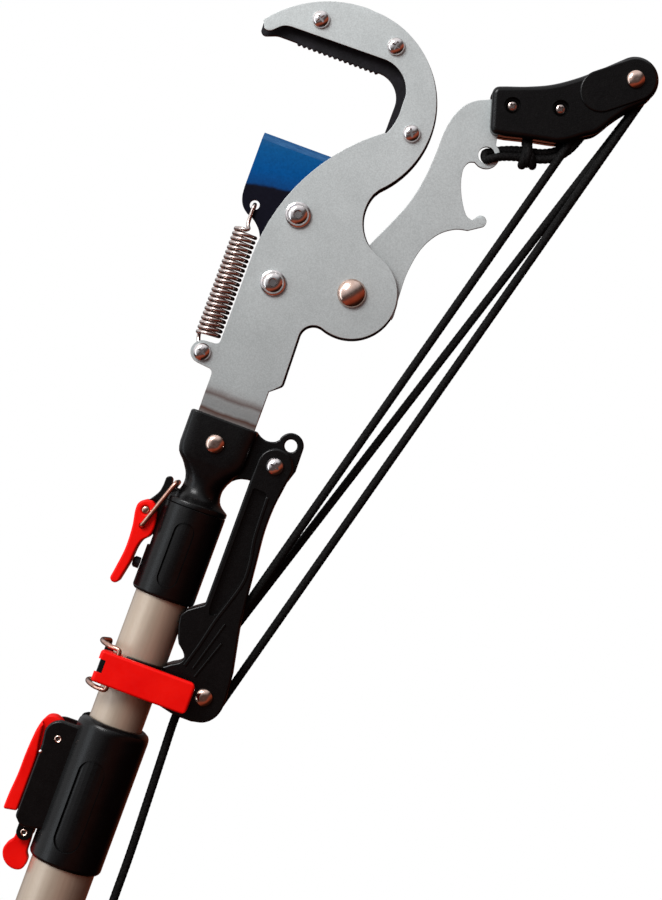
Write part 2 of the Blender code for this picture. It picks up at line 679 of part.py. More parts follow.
def involute_flank(steps=1):
    """Half-tooth angle at growing radii of the gear, as (radius, angle) pairs from root to tip."""
    base = PITCH_RADIUS * math.cos(PRESSURE_ANGLE)
    root, tip = PITCH_RADIUS - 1.25 * GEAR_MODULE, PITCH_RADIUS + GEAR_MODULE
    at_pitch = (TOOTH_PITCH / 2 - 2 * BACKLASH) / PITCH_RADIUS / 2

    def spread(radius):
        lean = math.acos(base / radius)
        return math.tan(lean) - lean

    flank = [(root, at_pitch + spread(PITCH_RADIUS))]
    for i in range(steps + 1):
        radius = base + 0.01 + (tip - base) * i / steps
        flank.append((radius, at_pitch + spread(PITCH_RADIUS) - spread(radius)))
    return flank


def gear_run():
    """Teeth of the sector, anticlockwise about the pivot, with a space pointing at the rack."""
    run = []
    flank = involute_flank()
    for k in range(GEAR_FIRST, GEAR_LAST + 1):
        middle = math.pi + 2 * math.pi / GEAR_TEETH * (k + 0.5)
        polar = [(r, middle - a) for r, a in flank] + [(r, middle + a) for r, a in reversed(flank)]
        run += [(PIVOT[0] + r * math.cos(a), PIVOT[1] + r * math.sin(a)) for r, a in polar]
    return run


def lever_outline():
    """Lever plate, anticlockwise: base, front edge, horn, ring, arm end, back edge, hub, teeth."""
    outline = [LEVER_BASE] + flow(LEVER_FRONT, 2)
    outline += ring_arc(LEVER_HORN, -45.0, 160.0)
    outline += flow(LEVER_THROAT, 2)
    outline += arc(RING_CENTRE, RING_RADIUS, -110.0, 66.0)
    outline += list(LEVER_END)
    outline += flow(LEVER_BACK, 2) + [LEVER_HEEL]
    outline += arc(PIVOT, HUB_RADIUS, 108.0, 158.0)
    return outline + gear_run()


def build_lever(head):
    holes = [circle(PIVOT, BUSH_DIAMETER / 2 + PLAY), circle(RING_CENTRE, RING_HOLE / 2, 14)]
    holes += [circle(place, 2.0, 10) for place in ARM_SCREWS.values()]
    thick = BLADE_THICKNESS / 2
    lever = extruded("lever_plate", [lever_outline(), *holes], -thick, thick, head, WHITE_STEEL)
    hinge_at(lever, (PIVOT[0], 0, PIVOT[1]))
    half = PLATE_IN - SEAT / 2
    bush_out, bush_in = BUSH_DIAMETER / 2, 4.3
    turned("pivot_bush", ring_profile(bush_in, bush_out, -half, half), head, NICKEL,
           (PIVOT[0], 0, PIVOT[1]), "-Y", 16)
    seat = PLATE_OUT + SEAT
    headed_pin("pivot_rivet", PIVOT, 6.6, 3.6, 4.0, seat, seat, head, NICKEL, 6.0)


def arm_outline():
    """Cheek of the upper arm, anticlockwise from its lower left corner."""
    outline = bend(*ARM_LOWER_CORNER, 3.0)
    outline += flow(ARM_LOWER, 2)
    outline += arc(UPPER_AXLE, ARM_END_RADIUS, -33.0, 133.0)
    outline += flow(ARM_UPPER, 2)
    outline += bend(*ARM_UPPER_CORNER, 3.0)
    return outline


def arm_pad_outline():
    """Raised pad over the sheaves, an outline with two round ends."""
    inner = ARM_PAD_INNER
    tilt = math.degrees(math.atan2(UPPER_AXLE[1] - inner[1], UPPER_AXLE[0] - inner[0]))
    radius = ARM_END_RADIUS - 1.3
    return arc(UPPER_AXLE, radius, tilt - 90, tilt + 90) + arc(inner, radius, tilt + 90, tilt + 270)


def build_arm(head):
    for label, side in (("front", -1), ("back", 1)):
        low, high = sorted((side * (BLADE_THICKNESS / 2 + SEAT), side * CHEEK_OUT))
        cheek = extruded("arm_cheek_" + label, [arm_outline()], low, high, head, BLACK_PLASTIC)
        low, high = sorted((side * (CHEEK_OUT - 1.0), side * (CHEEK_OUT + CHEEK_PAD)))
        pad = extruded("arm_pad_" + label, [arm_pad_outline()], low, high, head, None)
        low, high = sorted((0.0, side * CHEEK_IN))
        hollow = extruded("arm_hollow_" + label, [ARM_HOLLOW], low, high, head, None)
        join(cheek, pad)
        cut(cheek, hollow)
        bore = AXLE_DIAMETER / 2 + PLAY
        cut(cheek, rod_tool("arm_axle_hole_" + label, UPPER_AXLE, bore, -20, 20, head))
        for name, place in ARM_SCREWS.items():
            sink = sorted((side * (CHEEK_OUT - 3.2), side * 20))
            cut(cheek, rod_tool("arm_sink_%s_%s" % (label, name), place, 3.9, *sink, head),
                rod_tool("arm_hole_%s_%s" % (label, name), place, 2.0, -20, 20, head))
        hinge_at(cheek, (PIVOT[0], 0, PIVOT[1]))
    for name, place in ARM_SCREWS.items():
        seat = CHEEK_OUT - 3.2 + SEAT
        headed_pin("arm_screw_" + name, place, 3.2, 1.8, 1.6, seat, seat - 1.0, head, NICKEL)
    end = CHEEK_OUT + CHEEK_PAD + SEAT
    headed_pin("arm_axle", UPPER_AXLE, 4.2, 2.4, AXLE_DIAMETER / 2, end, end, head, NICKEL, 4.0)


def build_sheaves(head):
    half = SHEAVE_WIDTH / 2
    groove = ROPE_DIAMETER / 2 + SEAT + 0.2
    valley = [(ROPE_WRAP_RADIUS - groove * math.cos(a), groove * math.sin(a))
              for a in (math.radians(v) for v in (70, 25, -25, -70))]
    bore = AXLE_DIAMETER / 2 + PLAY
    profile = [(SHEAVE_RADIUS, half), (SHEAVE_RADIUS, groove + 0.1), *valley, (SHEAVE_RADIUS, -groove - 0.1),
               (SHEAVE_RADIUS, -half), (bore, -half), (bore, half)]
    for level, (x, z) in (("upper", UPPER_AXLE), ("lower", LOWER_AXLE)):
        for label, y in (("front", -SHEAVE_Y), ("back", SHEAVE_Y)):
            turned("%s_sheave_%s" % (level, label), profile, head, BLACK_PLASTIC, (x, y, z), "-Y", 15)


# Head socket and bracket

def superellipse(centre_x, half_x, half_y, power, z, count):
    ring = []
    for i in range(count):
        a = 2 * math.pi * i / count
        c, s = math.cos(a), math.sin(a)
        ring.append(((centre_x + half_x * math.copysign(abs(c) ** (2 / power), c)) * MM,
                     half_y * math.copysign(abs(s) ** (2 / power), s) * MM, z * MM))
    return ring


def loft(name, sections, frame, spec, count=16):
    """Closed skin through level sections (z, centre_x, half_x, half_y, power), top to bottom."""
    bm = bmesh.new()
    rings = []
    for z, centre_x, half_x, half_y, power in sections:
        outline = superellipse(centre_x, half_x, half_y, power, z, count)
        rings.append([bm.verts.new(co) for co in outline])
    for upper, lower in zip(rings, rings[1:]):
        for i in range(count):
            j = (i + 1) % count
            bm.faces.new((upper[i], lower[i], lower[j], upper[j]))
    bm.faces.new(rings[0])
    bm.faces.new(list(reversed(rings[-1])))
    bmesh.ops.recalc_face_normals(bm, faces=bm.faces)
    mesh = bpy.data.meshes.new(name)
    bm.to_mesh(mesh)
    bm.free()
    shade(mesh, 40.0)
    return put(bpy.data.objects.new(name, mesh), frame, spec)


def build_socket(head):
    wide, deep = SOCKET_HALF_WIDTH, SOCKET_HALF_DEPTH
    flange, foot = HEAD_LOCK_RADIUS, HEAD_LOCK_TOP + SEAT
    spigot = INNER_RADIUS - INNER_TUBE_WALL - PLAY
    neck = NECK_RADIUS
    sections = [
        (SOCKET_TOP, -0.7, wide - 1.0, deep - 1.0, 7),
        (SOCKET_TOP - 0.9, -0.7, wide, deep, 7),
        (-20.5, -0.7, wide, deep, 6),
        (-24.0, -0.6, wide - 0.9, deep - 0.1, 5),
        (-27.0, -0.3, wide - 3.2, deep - 0.5, 4),
        (-30.0, 0.0, neck + 2.1, neck + 0.7, 3),
        (-33.0, 0.1, neck + 0.6, neck + 0.2, 2.4),
        (-36.5, 0.1, neck, neck, 2),
        (-40.0, 0.1, neck + 0.7, neck + 0.7, 2),
        (-42.2, 0, neck + 2.4, neck + 2.4, 2),
        (-43.6, 0, flange - 1.2, flange - 1.2, 2),
        (-44.6, 0, flange, flange, 2),
        (foot, 0, flange, flange, 2),
        (foot - 0.01, 0, spigot, spigot, 2),
        (foot - SPIGOT_LENGTH, 0, spigot, spigot, 2),
    ]
    socket = loft("head_socket", sections, head, BLACK_PLASTIC)
    lug = [(0.0, -8.0), (12.0, -5.0)]
    lug += flow([(15.0, -4.2), (17.4, -5.6), (20.4, -6.2), (23.6, -5.4), (25.4, -3.8)])
    lug += arc(EAR_CENTRE, EAR_RADIUS, 165.0, 5.0)
    lug += [(37.3, -15.0), (35.6, -20.5), (32.0, -25.0), (21.0, -25.8)]
    lug += flow([(18.0, -26.0), (14.6, -27.0), (11.4, -29.4), (9.0, -33.0)]) + [(0.0, -33.0)]
    lug_holes = [circle(EAR_CENTRE, EAR_HOLE / 2), circle(BRACKET_SCREW, 2.3)]
    join(socket, extruded("socket_lug", [lug, *lug_holes], -LUG_HALF, LUG_HALF, head, None))
    hook = [(-8.0, -46.0), (-8.0, -40.5), (-13.0, -40.5)] + arc((-15.4, -38.2), 1.6, 0.0, 180.0)
    hook += flow([(-17.0, -41.0), (-17.5, -44.2), (-18.7, -46.6), (-20.2, -48.4)], 2)
    hook += [(-15.5, -48.2), (-15.5, -46.0)]
    join(socket, extruded("socket_hook", [hook], -4.0, 4.0, head, None))
    slot_half = JOGGLE_GAP + PLATE_THICKNESS
    low = (TANG_SIDES[0] - 0.4, -slot_half, TANG_BOTTOM - 0.4)
    cut(socket, block("tang_slot", low, (TANG_SIDES[1] + 0.5, slot_half, 0), head, None),
        rod_tool("socket_rivet_hole", SOCKET_RIVET, 2.9, -30, 30, head))
    seat = SOCKET_HALF_DEPTH + SEAT
    headed_pin("socket_rivet", SOCKET_RIVET, 4.4, 2.6, 2.5, seat, seat, head, NICKEL, 4.2)


def bracket_outline():
    """Side of the rope bracket, anticlockwise from the right end of its round head."""
    outline = arc(BRACKET_SCREW, BRACKET_HEAD_RADIUS, 0.0, 180.0) + [BRACKET_NECK]
    outline += bend(*BRACKET_STEP, 1.6)
    outline += list(BRACKET_WING) + flow(BRACKET_HEEL, 2)
    inside = BORE_RADIUS - 1.8
    outline += [(inside, BAND_TOP), (inside, BAND_BOTTOM), *BRACKET_FOOT]
    outline += flow(BRACKET_TOE, 2) + flow(BRACKET_BACK, 2)
    return outline


def bracket_tools(head):
    """Fork for the lug, channel for sheaves and ropes, pockets in both faces, tube and collar ways."""
    gap = LUG_HALF + SEAT
    fork = block("bracket_fork", (10, -gap, -27.5), (50, gap, 0), head, None)
    rope_way = extruded("bracket_channel", [BRACKET_CHANNEL], -CHEEK_IN, CHEEK_IN, head, None)
    pocket = rounded(BRACKET_POCKET)
    front = extruded("bracket_pocket_front", [pocket], -20, -BRACKET_HALF + 2.4, head, None)
    back = extruded("bracket_pocket_back", [pocket], BRACKET_HALF - 2.4, 20, head, None)
    tube_way = rod_tool("bracket_tube_way", (0, 0), BORE_RADIUS, -150, 0, head, True)
    collar, foot = HEAD_LOCK_RADIUS + SEAT, HEAD_LOCK_BOTTOM - SEAT
    collar_way = rod_tool("bracket_collar_way", (0, 0), collar, foot, -20, head, True)
    return fork, rope_way, front, back, tube_way, collar_way


def build_band(head):
    """Clamp band round the tube, with a tongue for the lever's pin and a lip for the bail at the back."""
    outer = BORE_RADIUS + BAND_WALL
    ring = arc((0, 0), outer, -109.0, 158.0) + arc((0, 0), BORE_RADIUS - 1.5, 158.0, -109.0)
    band = extruded("clamp_band", [ring], BAND_BOTTOM, BAND_TOP, head, None, True)
    tongue = arc((0, 0), BORE_RADIUS - 0.6, -95.0, -141.0) + arc(CLAMP_PIVOT, 3.2, 190.0, 280.0)
    tongue += [(-4.0, -outer)]
    join(band, extruded("clamp_tongue", [tongue], -131.2, -122.0, head, None, True))
    lip = [(-13.4, 7.2), (-16.4, 6.0), (-17.0, 4.8), (-16.6, 3.6), (-14.0, 3.4)]
    return join(band, extruded("clamp_lip", [lip], BAND_BOTTOM, BAND_TOP, head, None, True))


def build_bracket(head):
    half = BRACKET_HALF
    holes = [circle(BRACKET_SCREW, 2.3), circle(LOWER_AXLE, AXLE_DIAMETER / 2 + PLAY)]
    bracket = extruded("rope_bracket", [bracket_outline(), *holes], -half, half, head, BLACK_PLASTIC)
    join(bracket, build_band(head))
    cut(bracket, *bracket_tools(head))
    cut(bracket, rod_tool("clamp_pin_way", CLAMP_PIVOT, 1.8, -140, -110, head, True))
    seat = half + SEAT
    headed_pin("bracket_screw", BRACKET_SCREW, 4.1, 2.5, 2.0, seat, half + 0.6, head, NICKEL)
    headed_pin("bracket_axle", LOWER_AXLE, 4.1, 2.4, AXLE_DIAMETER / 2, seat, seat, head, NICKEL, 4.0)


def build_clamp(head):
    """Lever across the front of the band, its pin, and the wire bail round the left side."""
    top, bottom = CLAMP_LEVER_TOP, CLAMP_LEVER_BOTTOM
    outline = rounded([(-16.4, -20.6, 2.0), (-16.4, -15.6, 1.5), (-13.4, -10.4, 2.5), (-7.0, -10.2, 2.5),
                       (-5.6, -16.6, 1.0), (CLAMP_LEVER_RIGHT, -16.6, 1.5), (CLAMP_LEVER_RIGHT, -20.4, 1.5),
                       (8.0, -21.2, 6.0)])
    loops = [outline, circle(CLAMP_PIVOT, 1.8)]
    lever = extruded("clamp_lever", loops, bottom, top, head, RED_PLASTIC, True)
    fork = block("clamp_fork", (-30, -16.9, -131.5), (-5.5, -5, -121.7), head, None)
    window = block("clamp_window", (-30, -30, -129.6), (-12.8, -5, -123.2), head, None)
    cut(lever, fork, window)
    way, place = BAIL_WIRE / 2 + PLAY, CLAMP_BAIL_END
    cut(lever, rod_tool("clamp_bail_way", place, way, top - 3.0, top + 5, head, True),
        rod_tool("clamp_bail_way_low", place, way, bottom - 5, bottom + 3.0, head, True))
    pivot = (*CLAMP_PIVOT, 0)
    hinge_at(lever, pivot)
    pin = [(0, top + 0.2), (1.5, top + 0.2), (1.5, bottom - 0.2), (0, bottom - 0.2)]
    turned("clamp_pin", pin, head, NICKEL, pivot, "Z", 16)
    hinge_at(tube("clamp_bail", clamp_bail_route(), BAIL_WIRE, head, NICKEL, 1), (*CLAMP_BAIL_END, 0))


def clamp_bail_route():
    end_x, end_y = CLAMP_BAIL_END
    catch_x, catch_y = CLAMP_CATCH
    top, bottom = CLAMP_LEVER_TOP + 2.3, CLAMP_LEVER_BOTTOM - 2.3
    leg = flow([(end_x, end_y), (-13.6, -16.4), (-17.6, -9.0), (-18.6, 0.0), (catch_x, catch_y)], 2)
    leg = leg[:1] + leg[2:]
    upper = [(end_x, end_y, CLAMP_LEVER_TOP - 2.4)] + [(x, y, top) for x, y in leg]
    lower = [(x, y, bottom) for x, y in reversed(leg)] + [(end_x, end_y, CLAMP_LEVER_BOTTOM + 2.4)]
    route = upper + lower
    return soften_corners(route, (1, len(upper) - 1, len(upper), len(route) - 2), 2.3)


def soften_corners(route, corners, reach):
    """Replace the sharp corners of a route, named by index, with short bends."""
    run = []
    for i, point in enumerate(route):
        run += bend(route[i - 1], point, route[i + 1], reach, 3) if i in corners else [point]
    return run


# Head lock

def build_head_lock(head):
    top, bottom, radius = HEAD_LOCK_TOP, HEAD_LOCK_BOTTOM, HEAD_LOCK_RADIUS
    profile = [(radius, top), (radius, bottom + 1.2), (radius - 1.0, bottom), (BORE_RADIUS, bottom),
               (BORE_RADIUS, top)]
    housing = turned("head_lock_housing", profile, head, BLACK_PLASTIC, steps=24)
    ear = [(-13.6, -48.9), (-17.2, -48.9), (-20.4, -49.2), (-22.2, -50.6)]
    ear += arc(TOGGLE_PIN, 3.4, 165.0, 280.0) + [(-13.6, -63.0)]
    join(housing, extruded("head_lock_ear", [ear], -TOGGLE_EAR_HALF, TOGGLE_EAR_HALF, head, None))
    for label, low, high in (("front", -9, -TOGGLE_EAR_HALF), ("back", TOGGLE_EAR_HALF, 9)):
        pocket = ((-20, low, -69.2), (-13.7, high, -51.0))
        cut(housing, block("head_lock_pocket_" + label, *pocket, head, None))
    cut(housing, block("head_lock_step", (-20, -9, -69.2), (-13.4, 9, -64.0), head, None))
    cut(housing, rod_tool("toggle_pin_way", TOGGLE_PIN, 1.8, -10, 10, head))
    stop = [(0, 3.4), (1.8, 3.2), (2.6, 2.4), (2.6, 0), (0, 0)]
    turned("head_lock_stop", stop, head, BLACK_STEEL, (-HEAD_LOCK_RADIUS - 0.3, 0, -78.6), "-X", 16)
    build_toggle(head)


def build_toggle(head):
    outline = flow([(-18.8, -49.6), (-22.2, -50.2), (-24.6, -52.6), (-24.9, -56.4), (-23.6, -64.0),
                    (-23.2, -74.0), (-24.4, -84.0), (-25.0, -87.8)], 2)
    outline += arc((-22.9, -88.2), 2.2, 190.0, 350.0)
    outline += flow([(-20.2, -86.0), (-18.9, -79.0), (-18.4, -72.4), (-17.2, -68.2), (-14.9, -65.6),
                     (-14.0, -62.6), (-14.2, -58.4), (-15.6, -53.4), (-17.2, -50.6)], 2)
    holes = [circle(TOGGLE_PIN, 1.8)]
    lever = extruded("head_lock_lever", [outline, *holes], -TOGGLE_HALF, TOGGLE_HALF, head, RED_PLASTIC)
    gap = TOGGLE_EAR_HALF + 0.4
    slot = block("toggle_slot", (-30, -gap, -65.5), (-10, gap, -40), head, None)
    sink = BAIL_WIRE / 2 + PLAY
    cut(lever, slot, rod_tool("toggle_bail_way_front", TOGGLE_BAIL_END, sink, -20, -TOGGLE_HALF + 2.4, head),
        rod_tool("toggle_bail_way_back", TOGGLE_BAIL_END, sink, TOGGLE_HALF - 2.4, 20, head))
    hinge_at(lever, (TOGGLE_PIN[0], 0, TOGGLE_PIN[1]))
    reach = TOGGLE_HALF + 0.2
    turned("head_lock_pin", [(0, reach), (1.5, reach), (1.5, -reach), (0, -reach)], head, NICKEL,
           (TOGGLE_PIN[0], 0, TOGGLE_PIN[1]), "-Y", 16)
    leg = TOGGLE_HALF + SEAT + BAIL_WIRE / 2 + 0.3
    low, high = TOGGLE_BAIL_END, TOGGLE_CATCH
    route = [(low[0], -TOGGLE_HALF + 1.8, low[1]), (low[0], -leg, low[1]), (high[0], -leg, high[1]),
             (high[0], leg, high[1]), (low[0], leg, low[1]), (low[0], TOGGLE_HALF - 1.8, low[1])]
    bail = tube("head_lock_bail", soften_corners(route, (1, 2, 3, 4), 2.2), BAIL_WIRE, head, NICKEL)
    hinge_at(bail, (low[0], 0, low[1]))


# Pole

def build_tubes(pole):
    foot_bottom = CAP_BASE + SEAT * 2
    tube_bottom = foot_bottom + 3.0
    tube_top = HEAD_HEIGHT + HEAD_LOCK_TOP - 1.0
    bore = OUTER_RADIUS - OUTER_TUBE_WALL
    outer = ring_profile(bore, OUTER_RADIUS, OUTER_TUBE_BOTTOM, OUTER_TUBE_TOP)
    inner = ring_profile(INNER_RADIUS - INNER_TUBE_WALL, INNER_RADIUS, tube_bottom, tube_top)
    turned("outer_tube", outer, pole, ALUMINIUM, steps=28)
    turned("inner_tube", inner, pole, ALUMINIUM, steps=28)
    plug, skirt = INNER_RADIUS - INNER_TUBE_WALL - PLAY, bore - PLAY
    foot = [(0, foot_bottom + FOOT_HEIGHT), (plug, foot_bottom + FOOT_HEIGHT), (plug, tube_bottom - SEAT),
            (skirt, tube_bottom - SEAT), (skirt, foot_bottom), (0, foot_bottom)]
    turned("inner_tube_foot", foot, pole, BLACK_PLASTIC, steps=20)


def build_cap_and_grip(pole):
    inner, outer = OUTER_RADIUS + PLAY, OUTER_RADIUS + PLAY + CAP_WALL
    cap = [(0, CAP_BASE), (inner, CAP_BASE), (inner, CAP_HEIGHT), (outer - 0.8, CAP_HEIGHT),
           (outer, CAP_HEIGHT - 1.0), (outer, 1.2), (outer - 1.2, 0), (0, 0)]
    turned("end_cap", cap, pole, RUBBER, steps=20)
    low, high = CAP_HEIGHT + 2.0, CAP_HEIGHT + 2.0 + GRIP_LENGTH
    swell = inner + GRIP_WALL
    pitch = (GRIP_LENGTH - 12.0) / GRIP_RIB_COUNT
    side = [(swell - 1.4, high), (swell, high - 2.0)]
    for i in range(GRIP_RIB_COUNT):
        top = high - 6.0 - pitch * i
        side += [(swell, top), (swell - 1.0, top - 1.0), (swell - 1.0, top - 3.0), (swell, top - 4.0)]
    side += [(swell, low + 2.0), (swell - 1.4, low)]
    turned("hand_grip", side + [(inner, low), (inner, high)], pole, RUBBER, steps=20)


def build_pole_lock(lock):
    """Collar at the top of the outer tube; heights are below its top."""
    radius, bottom = POLE_LOCK_RADIUS, -POLE_LOCK_HEIGHT
    seat_z = -POLE_LOCK_NOSE + SEAT
    profile = [(0, 0), (radius - 2.6, 0), (radius - 0.5, -1.4), (radius, -4.0), (radius, bottom + 1.4),
               (radius - 1.2, bottom), (0, bottom)]
    housing = turned("pole_lock_housing", profile, lock, BLACK_PLASTIC, steps=24)
    pin_x, pin_z = POLE_LOCK_PIN
    box = [(-8.0, -5.6), (-14.6, -6.0)] + arc((pin_x, pin_z + 1.3), POLE_LOCK_EAR_RADIUS, 90.0, 195.0)
    box += [(-27.8, pin_z - 4.8)] + bend((-27.8, -40), (-27.8, -54.0), (-24.6, -56.4), 1.5)
    box += bend((-27.0, -55.0), (-24.0, -57.2), (-8.0, -56.4), 2.0) + [(-8.0, -54.0)]
    half = POLE_LOCK_BOX_HALF
    case = extruded("pole_lock_case", [box], -half, half, lock, None)
    ear = arc(CATCH_PIN, 3.7, 180.0, 360.0) + [(-17.9, -50.0), (-25.3, -50.0)]
    ear_bar = extruded("pole_lock_catch_ear", [ear], -CATCH_EAR_HALF, CATCH_EAR_HALF, lock, None)
    join(housing, case, ear_bar)
    gap, catch_gap = POLE_LOCK_SLOT_HALF, CATCH_HALF + 0.4
    slot = block("pole_lock_slot", (-40, -gap, -25.5), (-12.0, gap, 5.0), lock, None)
    catch_slot = block("catch_slot", (-40, -catch_gap, -90.0), (-17.3, catch_gap, -54.6), lock, None)
    cut(housing, slot, catch_slot,
        rod_tool("pole_lock_tube_way", (0, 0), OUTER_RADIUS + PLAY, -100, seat_z, lock, True),
        rod_tool("pole_lock_bore_way", (0, 0), BORE_RADIUS, seat_z - 1, 20, lock, True),
        rod_tool("pole_lock_pin_way", POLE_LOCK_PIN, 1.9, -20, 20, lock),
        rod_tool("catch_pin_way", CATCH_PIN, 1.9, -20, 20, lock))
    build_cam_lever(lock)
    build_catch(lock)
    pins = {"pole_lock_pin": (POLE_LOCK_PIN, half), "catch_pin": (CATCH_PIN, CATCH_EAR_HALF)}
    for name, (place, reach) in pins.items():
        profile = [(0, reach + 0.3), (1.6, reach + 0.3), (1.6, -reach - 0.3), (0, -reach - 0.3)]
        turned(name, profile, lock, NICKEL, (place[0], 0, place[1]), "-Y", 16)


def build_cam_lever(lock):
    """Lever with its cam between the ears and a wide bar down the left side of the case."""
    cam = arc(POLE_LOCK_PIN, 6.1, -140.0, 75.0)
    cam += flow([(-22.4, -7.6), (-24.6, -6.2), (-27.2, -5.8), (-30.0, -7.0), (-31.8, -10.4),
                 (-32.9, -16.0), (-33.3, -24.0)], 2)
    cam += [(-28.2, -24.6)]
    lever = extruded("pole_lock_lever", [cam, circle(POLE_LOCK_PIN, 1.9)], -4.6, 4.6, lock, RED_PLASTIC)
    bar = flow([(-33.1, -20.6), (-33.4, -27.0), (-33.5, -36.0), (-34.2, -45.0)], 2)
    bar += bend((-34.2, -45.0), (-34.4, -53.0), (-28.1, -51.8), 1.4)
    bar += bend((-31.0, -52.4), (-28.1, -51.8), (-28.1, -30.0), 1.0) + [(-28.1, -20.6)]
    half = POLE_LOCK_LEVER_HALF
    join(lever, extruded("cam_lever_bar", [bar], -half, half, lock, None))
    hinge_at(lever, (POLE_LOCK_PIN[0], 0, POLE_LOCK_PIN[1]))


def build_catch(lock):
    outline = arc(CATCH_PIN, 3.5, 0.0, 180.0)
    outline += flow([(-25.2, -62.4), (-25.7, -65.0), (-27.6, -67.8), (-28.3, -71.2), (-27.0, -74.6),
                     (-24.4, -77.0), (-21.0, -78.0), (-17.8, -77.2), (-16.3, -74.8), (-16.2, -71.4),
                     (-17.6, -68.6), (-17.8, -64.0)], 2)
    loops = [outline, circle(CATCH_PIN, 1.9)]
    catch = extruded("pole_lock_catch", loops, -CATCH_HALF, CATCH_HALF, lock, RED_PLASTIC)
    hinge_at(catch, (CATCH_PIN[0], 0, CATCH_PIN[1]))


# Rope

def tangent(side_from, side_to):
    """Ends of a strand between the axles, by the side of each sheave that it leaves: 1 right, -1 left."""
    upper, lower = Vector(UPPER_AXLE), Vector(LOWER_AXLE)
    span = upper - lower
    turn = math.asin((side_from - side_to) * ROPE_WRAP_RADIUS / span.length)
    angle = math.atan2(span.y, span.x) + turn
    reach = Vector((math.sin(angle), -math.cos(angle))) * ROPE_WRAP_RADIUS
    return upper + reach * side_from, lower + reach * side_to


def straight(name, start, end, start_y, end_y, head):
    """A strand between two tangent points, held back a little at both ends."""
    a, b = Vector((start.x, start_y, start.y)), Vector((end.x, end_y, end.y))
    trim = SEAT / (b - a).length
    count = math.ceil((b - a).length / (12 * ROPE_DIAMETER))
    points = [a.lerp(b, trim + (1 - 2 * trim) * i / count) for i in range(count + 1)]
    return tube(name, points, ROPE_DIAMETER, head, ROPE)


def wrap(axle, start, end, y, clockwise):
    """Points round a sheave from one tangent point to the next."""
    centre = Vector(axle)
    a0 = math.atan2(start.y - centre.y, start.x - centre.x)
    a1 = math.atan2(end.y - centre.y, end.x - centre.x)
    while clockwise and a1 > a0:
        a1 -= 2 * math.pi
    while not clockwise and a1 < a0:
        a1 += 2 * math.pi
    shy = math.copysign(SEAT / ROPE_WRAP_RADIUS, a1 - a0)
    a0, a1 = a0 + shy, a1 - shy
    run = []
    for i in range(9):
        a = a0 + (a1 - a0) * i / 8
        reach = Vector((math.cos(a), math.sin(a))) * ROPE_WRAP_RADIUS
        run.append((centre.x + reach.x, y, centre.y + reach.y))
    return run


def build_rope(head, pole):
    front, back = -SHEAVE_Y, SHEAVE_Y
    first_top, first_low = tangent(-1, -1)
    second_top, second_low = tangent(1, -1)
    third_top, third_low = tangent(1, 1)
    straight("rope_strand_first", first_top, first_low, front, front, head)
    straight("rope_strand_second", second_top, second_low, back, back, head)
    straight("rope_strand_third", third_top, third_low, front, back, head)
    over = wrap(UPPER_AXLE, third_top, first_top, front, False)
    under = wrap(LOWER_AXLE, second_low, third_low, back, False)
    tube("rope_upper_turn", over, ROPE_DIAMETER, head, ROPE)
    tube("rope_lower_turn", under, ROPE_DIAMETER, head, ROPE)
    build_tie(head, second_top, back)
    build_fall(head, first_low, front)
    build_pull_handle(pole)


def build_tie(head, second_top, back):
    """Loop through the lever's ring, its knot and the run over the back sheave."""
    knot = (86.6, 0.0, 157.0)
    run = [knot, (93.0, 0.6, 160.4), (99.2, 1.6, 164.8), (103.2, 2.4, 170.6), (105.6, back, 180.0)]
    start = Vector((UPPER_AXLE[0] - ROPE_WRAP_RADIUS, UPPER_AXLE[1] + 1.0))
    over = wrap(UPPER_AXLE, start, second_top, back, True)
    tie = tube("rope_tie", flow(run + [over[0]], 2) + over[1:], ROPE_DIAMETER, head, ROPE)
    hole_x, hole_z = RING_CENTRE
    leg = [(hole_x + 0.9, 1.6, hole_z + 0.1), (hole_x + 2.0, 3.2, hole_z + 0.3),
           (hole_x + 4.2, 3.9, hole_z + 0.9), (hole_x + 7.0, 3.7, hole_z + 2.2),
           (knot[0] - 5.0, 2.6, knot[2] - 2.0), (knot[0] - 1.0, 2.4, knot[2])]
    loop = [(x, -y, z) for x, y, z in reversed(leg)] + [(hole_x + 0.6, 0.0, hole_z)] + leg
    join(tie, tube("rope_loop", flow(loop, 2), ROPE_DIAMETER, head, None), knot_lump(head, knot))


def build_fall(head, first_low, front):
    """Rope from the front sheave down beside the pole to the handle."""
    handle_top = HANDLE_HEIGHT + HANDLE_RADIUS + SEAT - HEAD_HEIGHT
    fall = [(first_low.x - 0.08, front, first_low.y - 0.3), (25.0, front, -132.5), (24.6, front, -141.0),
            (25.2, front, -158.0), (26.0, front, -180.0), (26.8, front, -204.0), (27.0, front, -230.0),
            (27.4, -2.4, -300.0), (28.4, -1.8, -420.0), (30.4, -0.8, -560.0), (32.2, -0.2, -660.0),
            (HANDLE_X, 0.0, handle_top)]
    tube("rope_fall", flow(fall, 2), ROPE_DIAMETER, head, ROPE)


def knot_lump(head, knot):
    bpy.ops.mesh.primitive_uv_sphere_add(segments=10, ring_count=6, radius=1)
    lump = bpy.context.object
    for collection in lump.users_collection:
        collection.objects.unlink(lump)
    lump.name = "rope_knot"
    for vert in lump.data.vertices:
        vert.co = (Vector((vert.co.x * 4.6, vert.co.y * 4.8, vert.co.z * 6.0)) + Vector(knot)) * MM
    return put(lump, head, None)


def build_pull_handle(pole):
    """Turned cross bar that hangs on the end of the rope."""
    half, radius = HANDLE_LENGTH / 2, HANDLE_RADIUS
    upper = [(0, half), (radius - 3.0, half), (radius, half - 3.0), (radius + 0.6, half * 0.7),
             (radius - 1.2, half * 0.3), (radius, half * 0.12)]
    side = upper + [(r, -h) for r, h in reversed(upper)]
    turned("pull_handle", side, pole, BLACK_PLASTIC, (HANDLE_X, 0, HANDLE_HEIGHT), "-Y", 16)


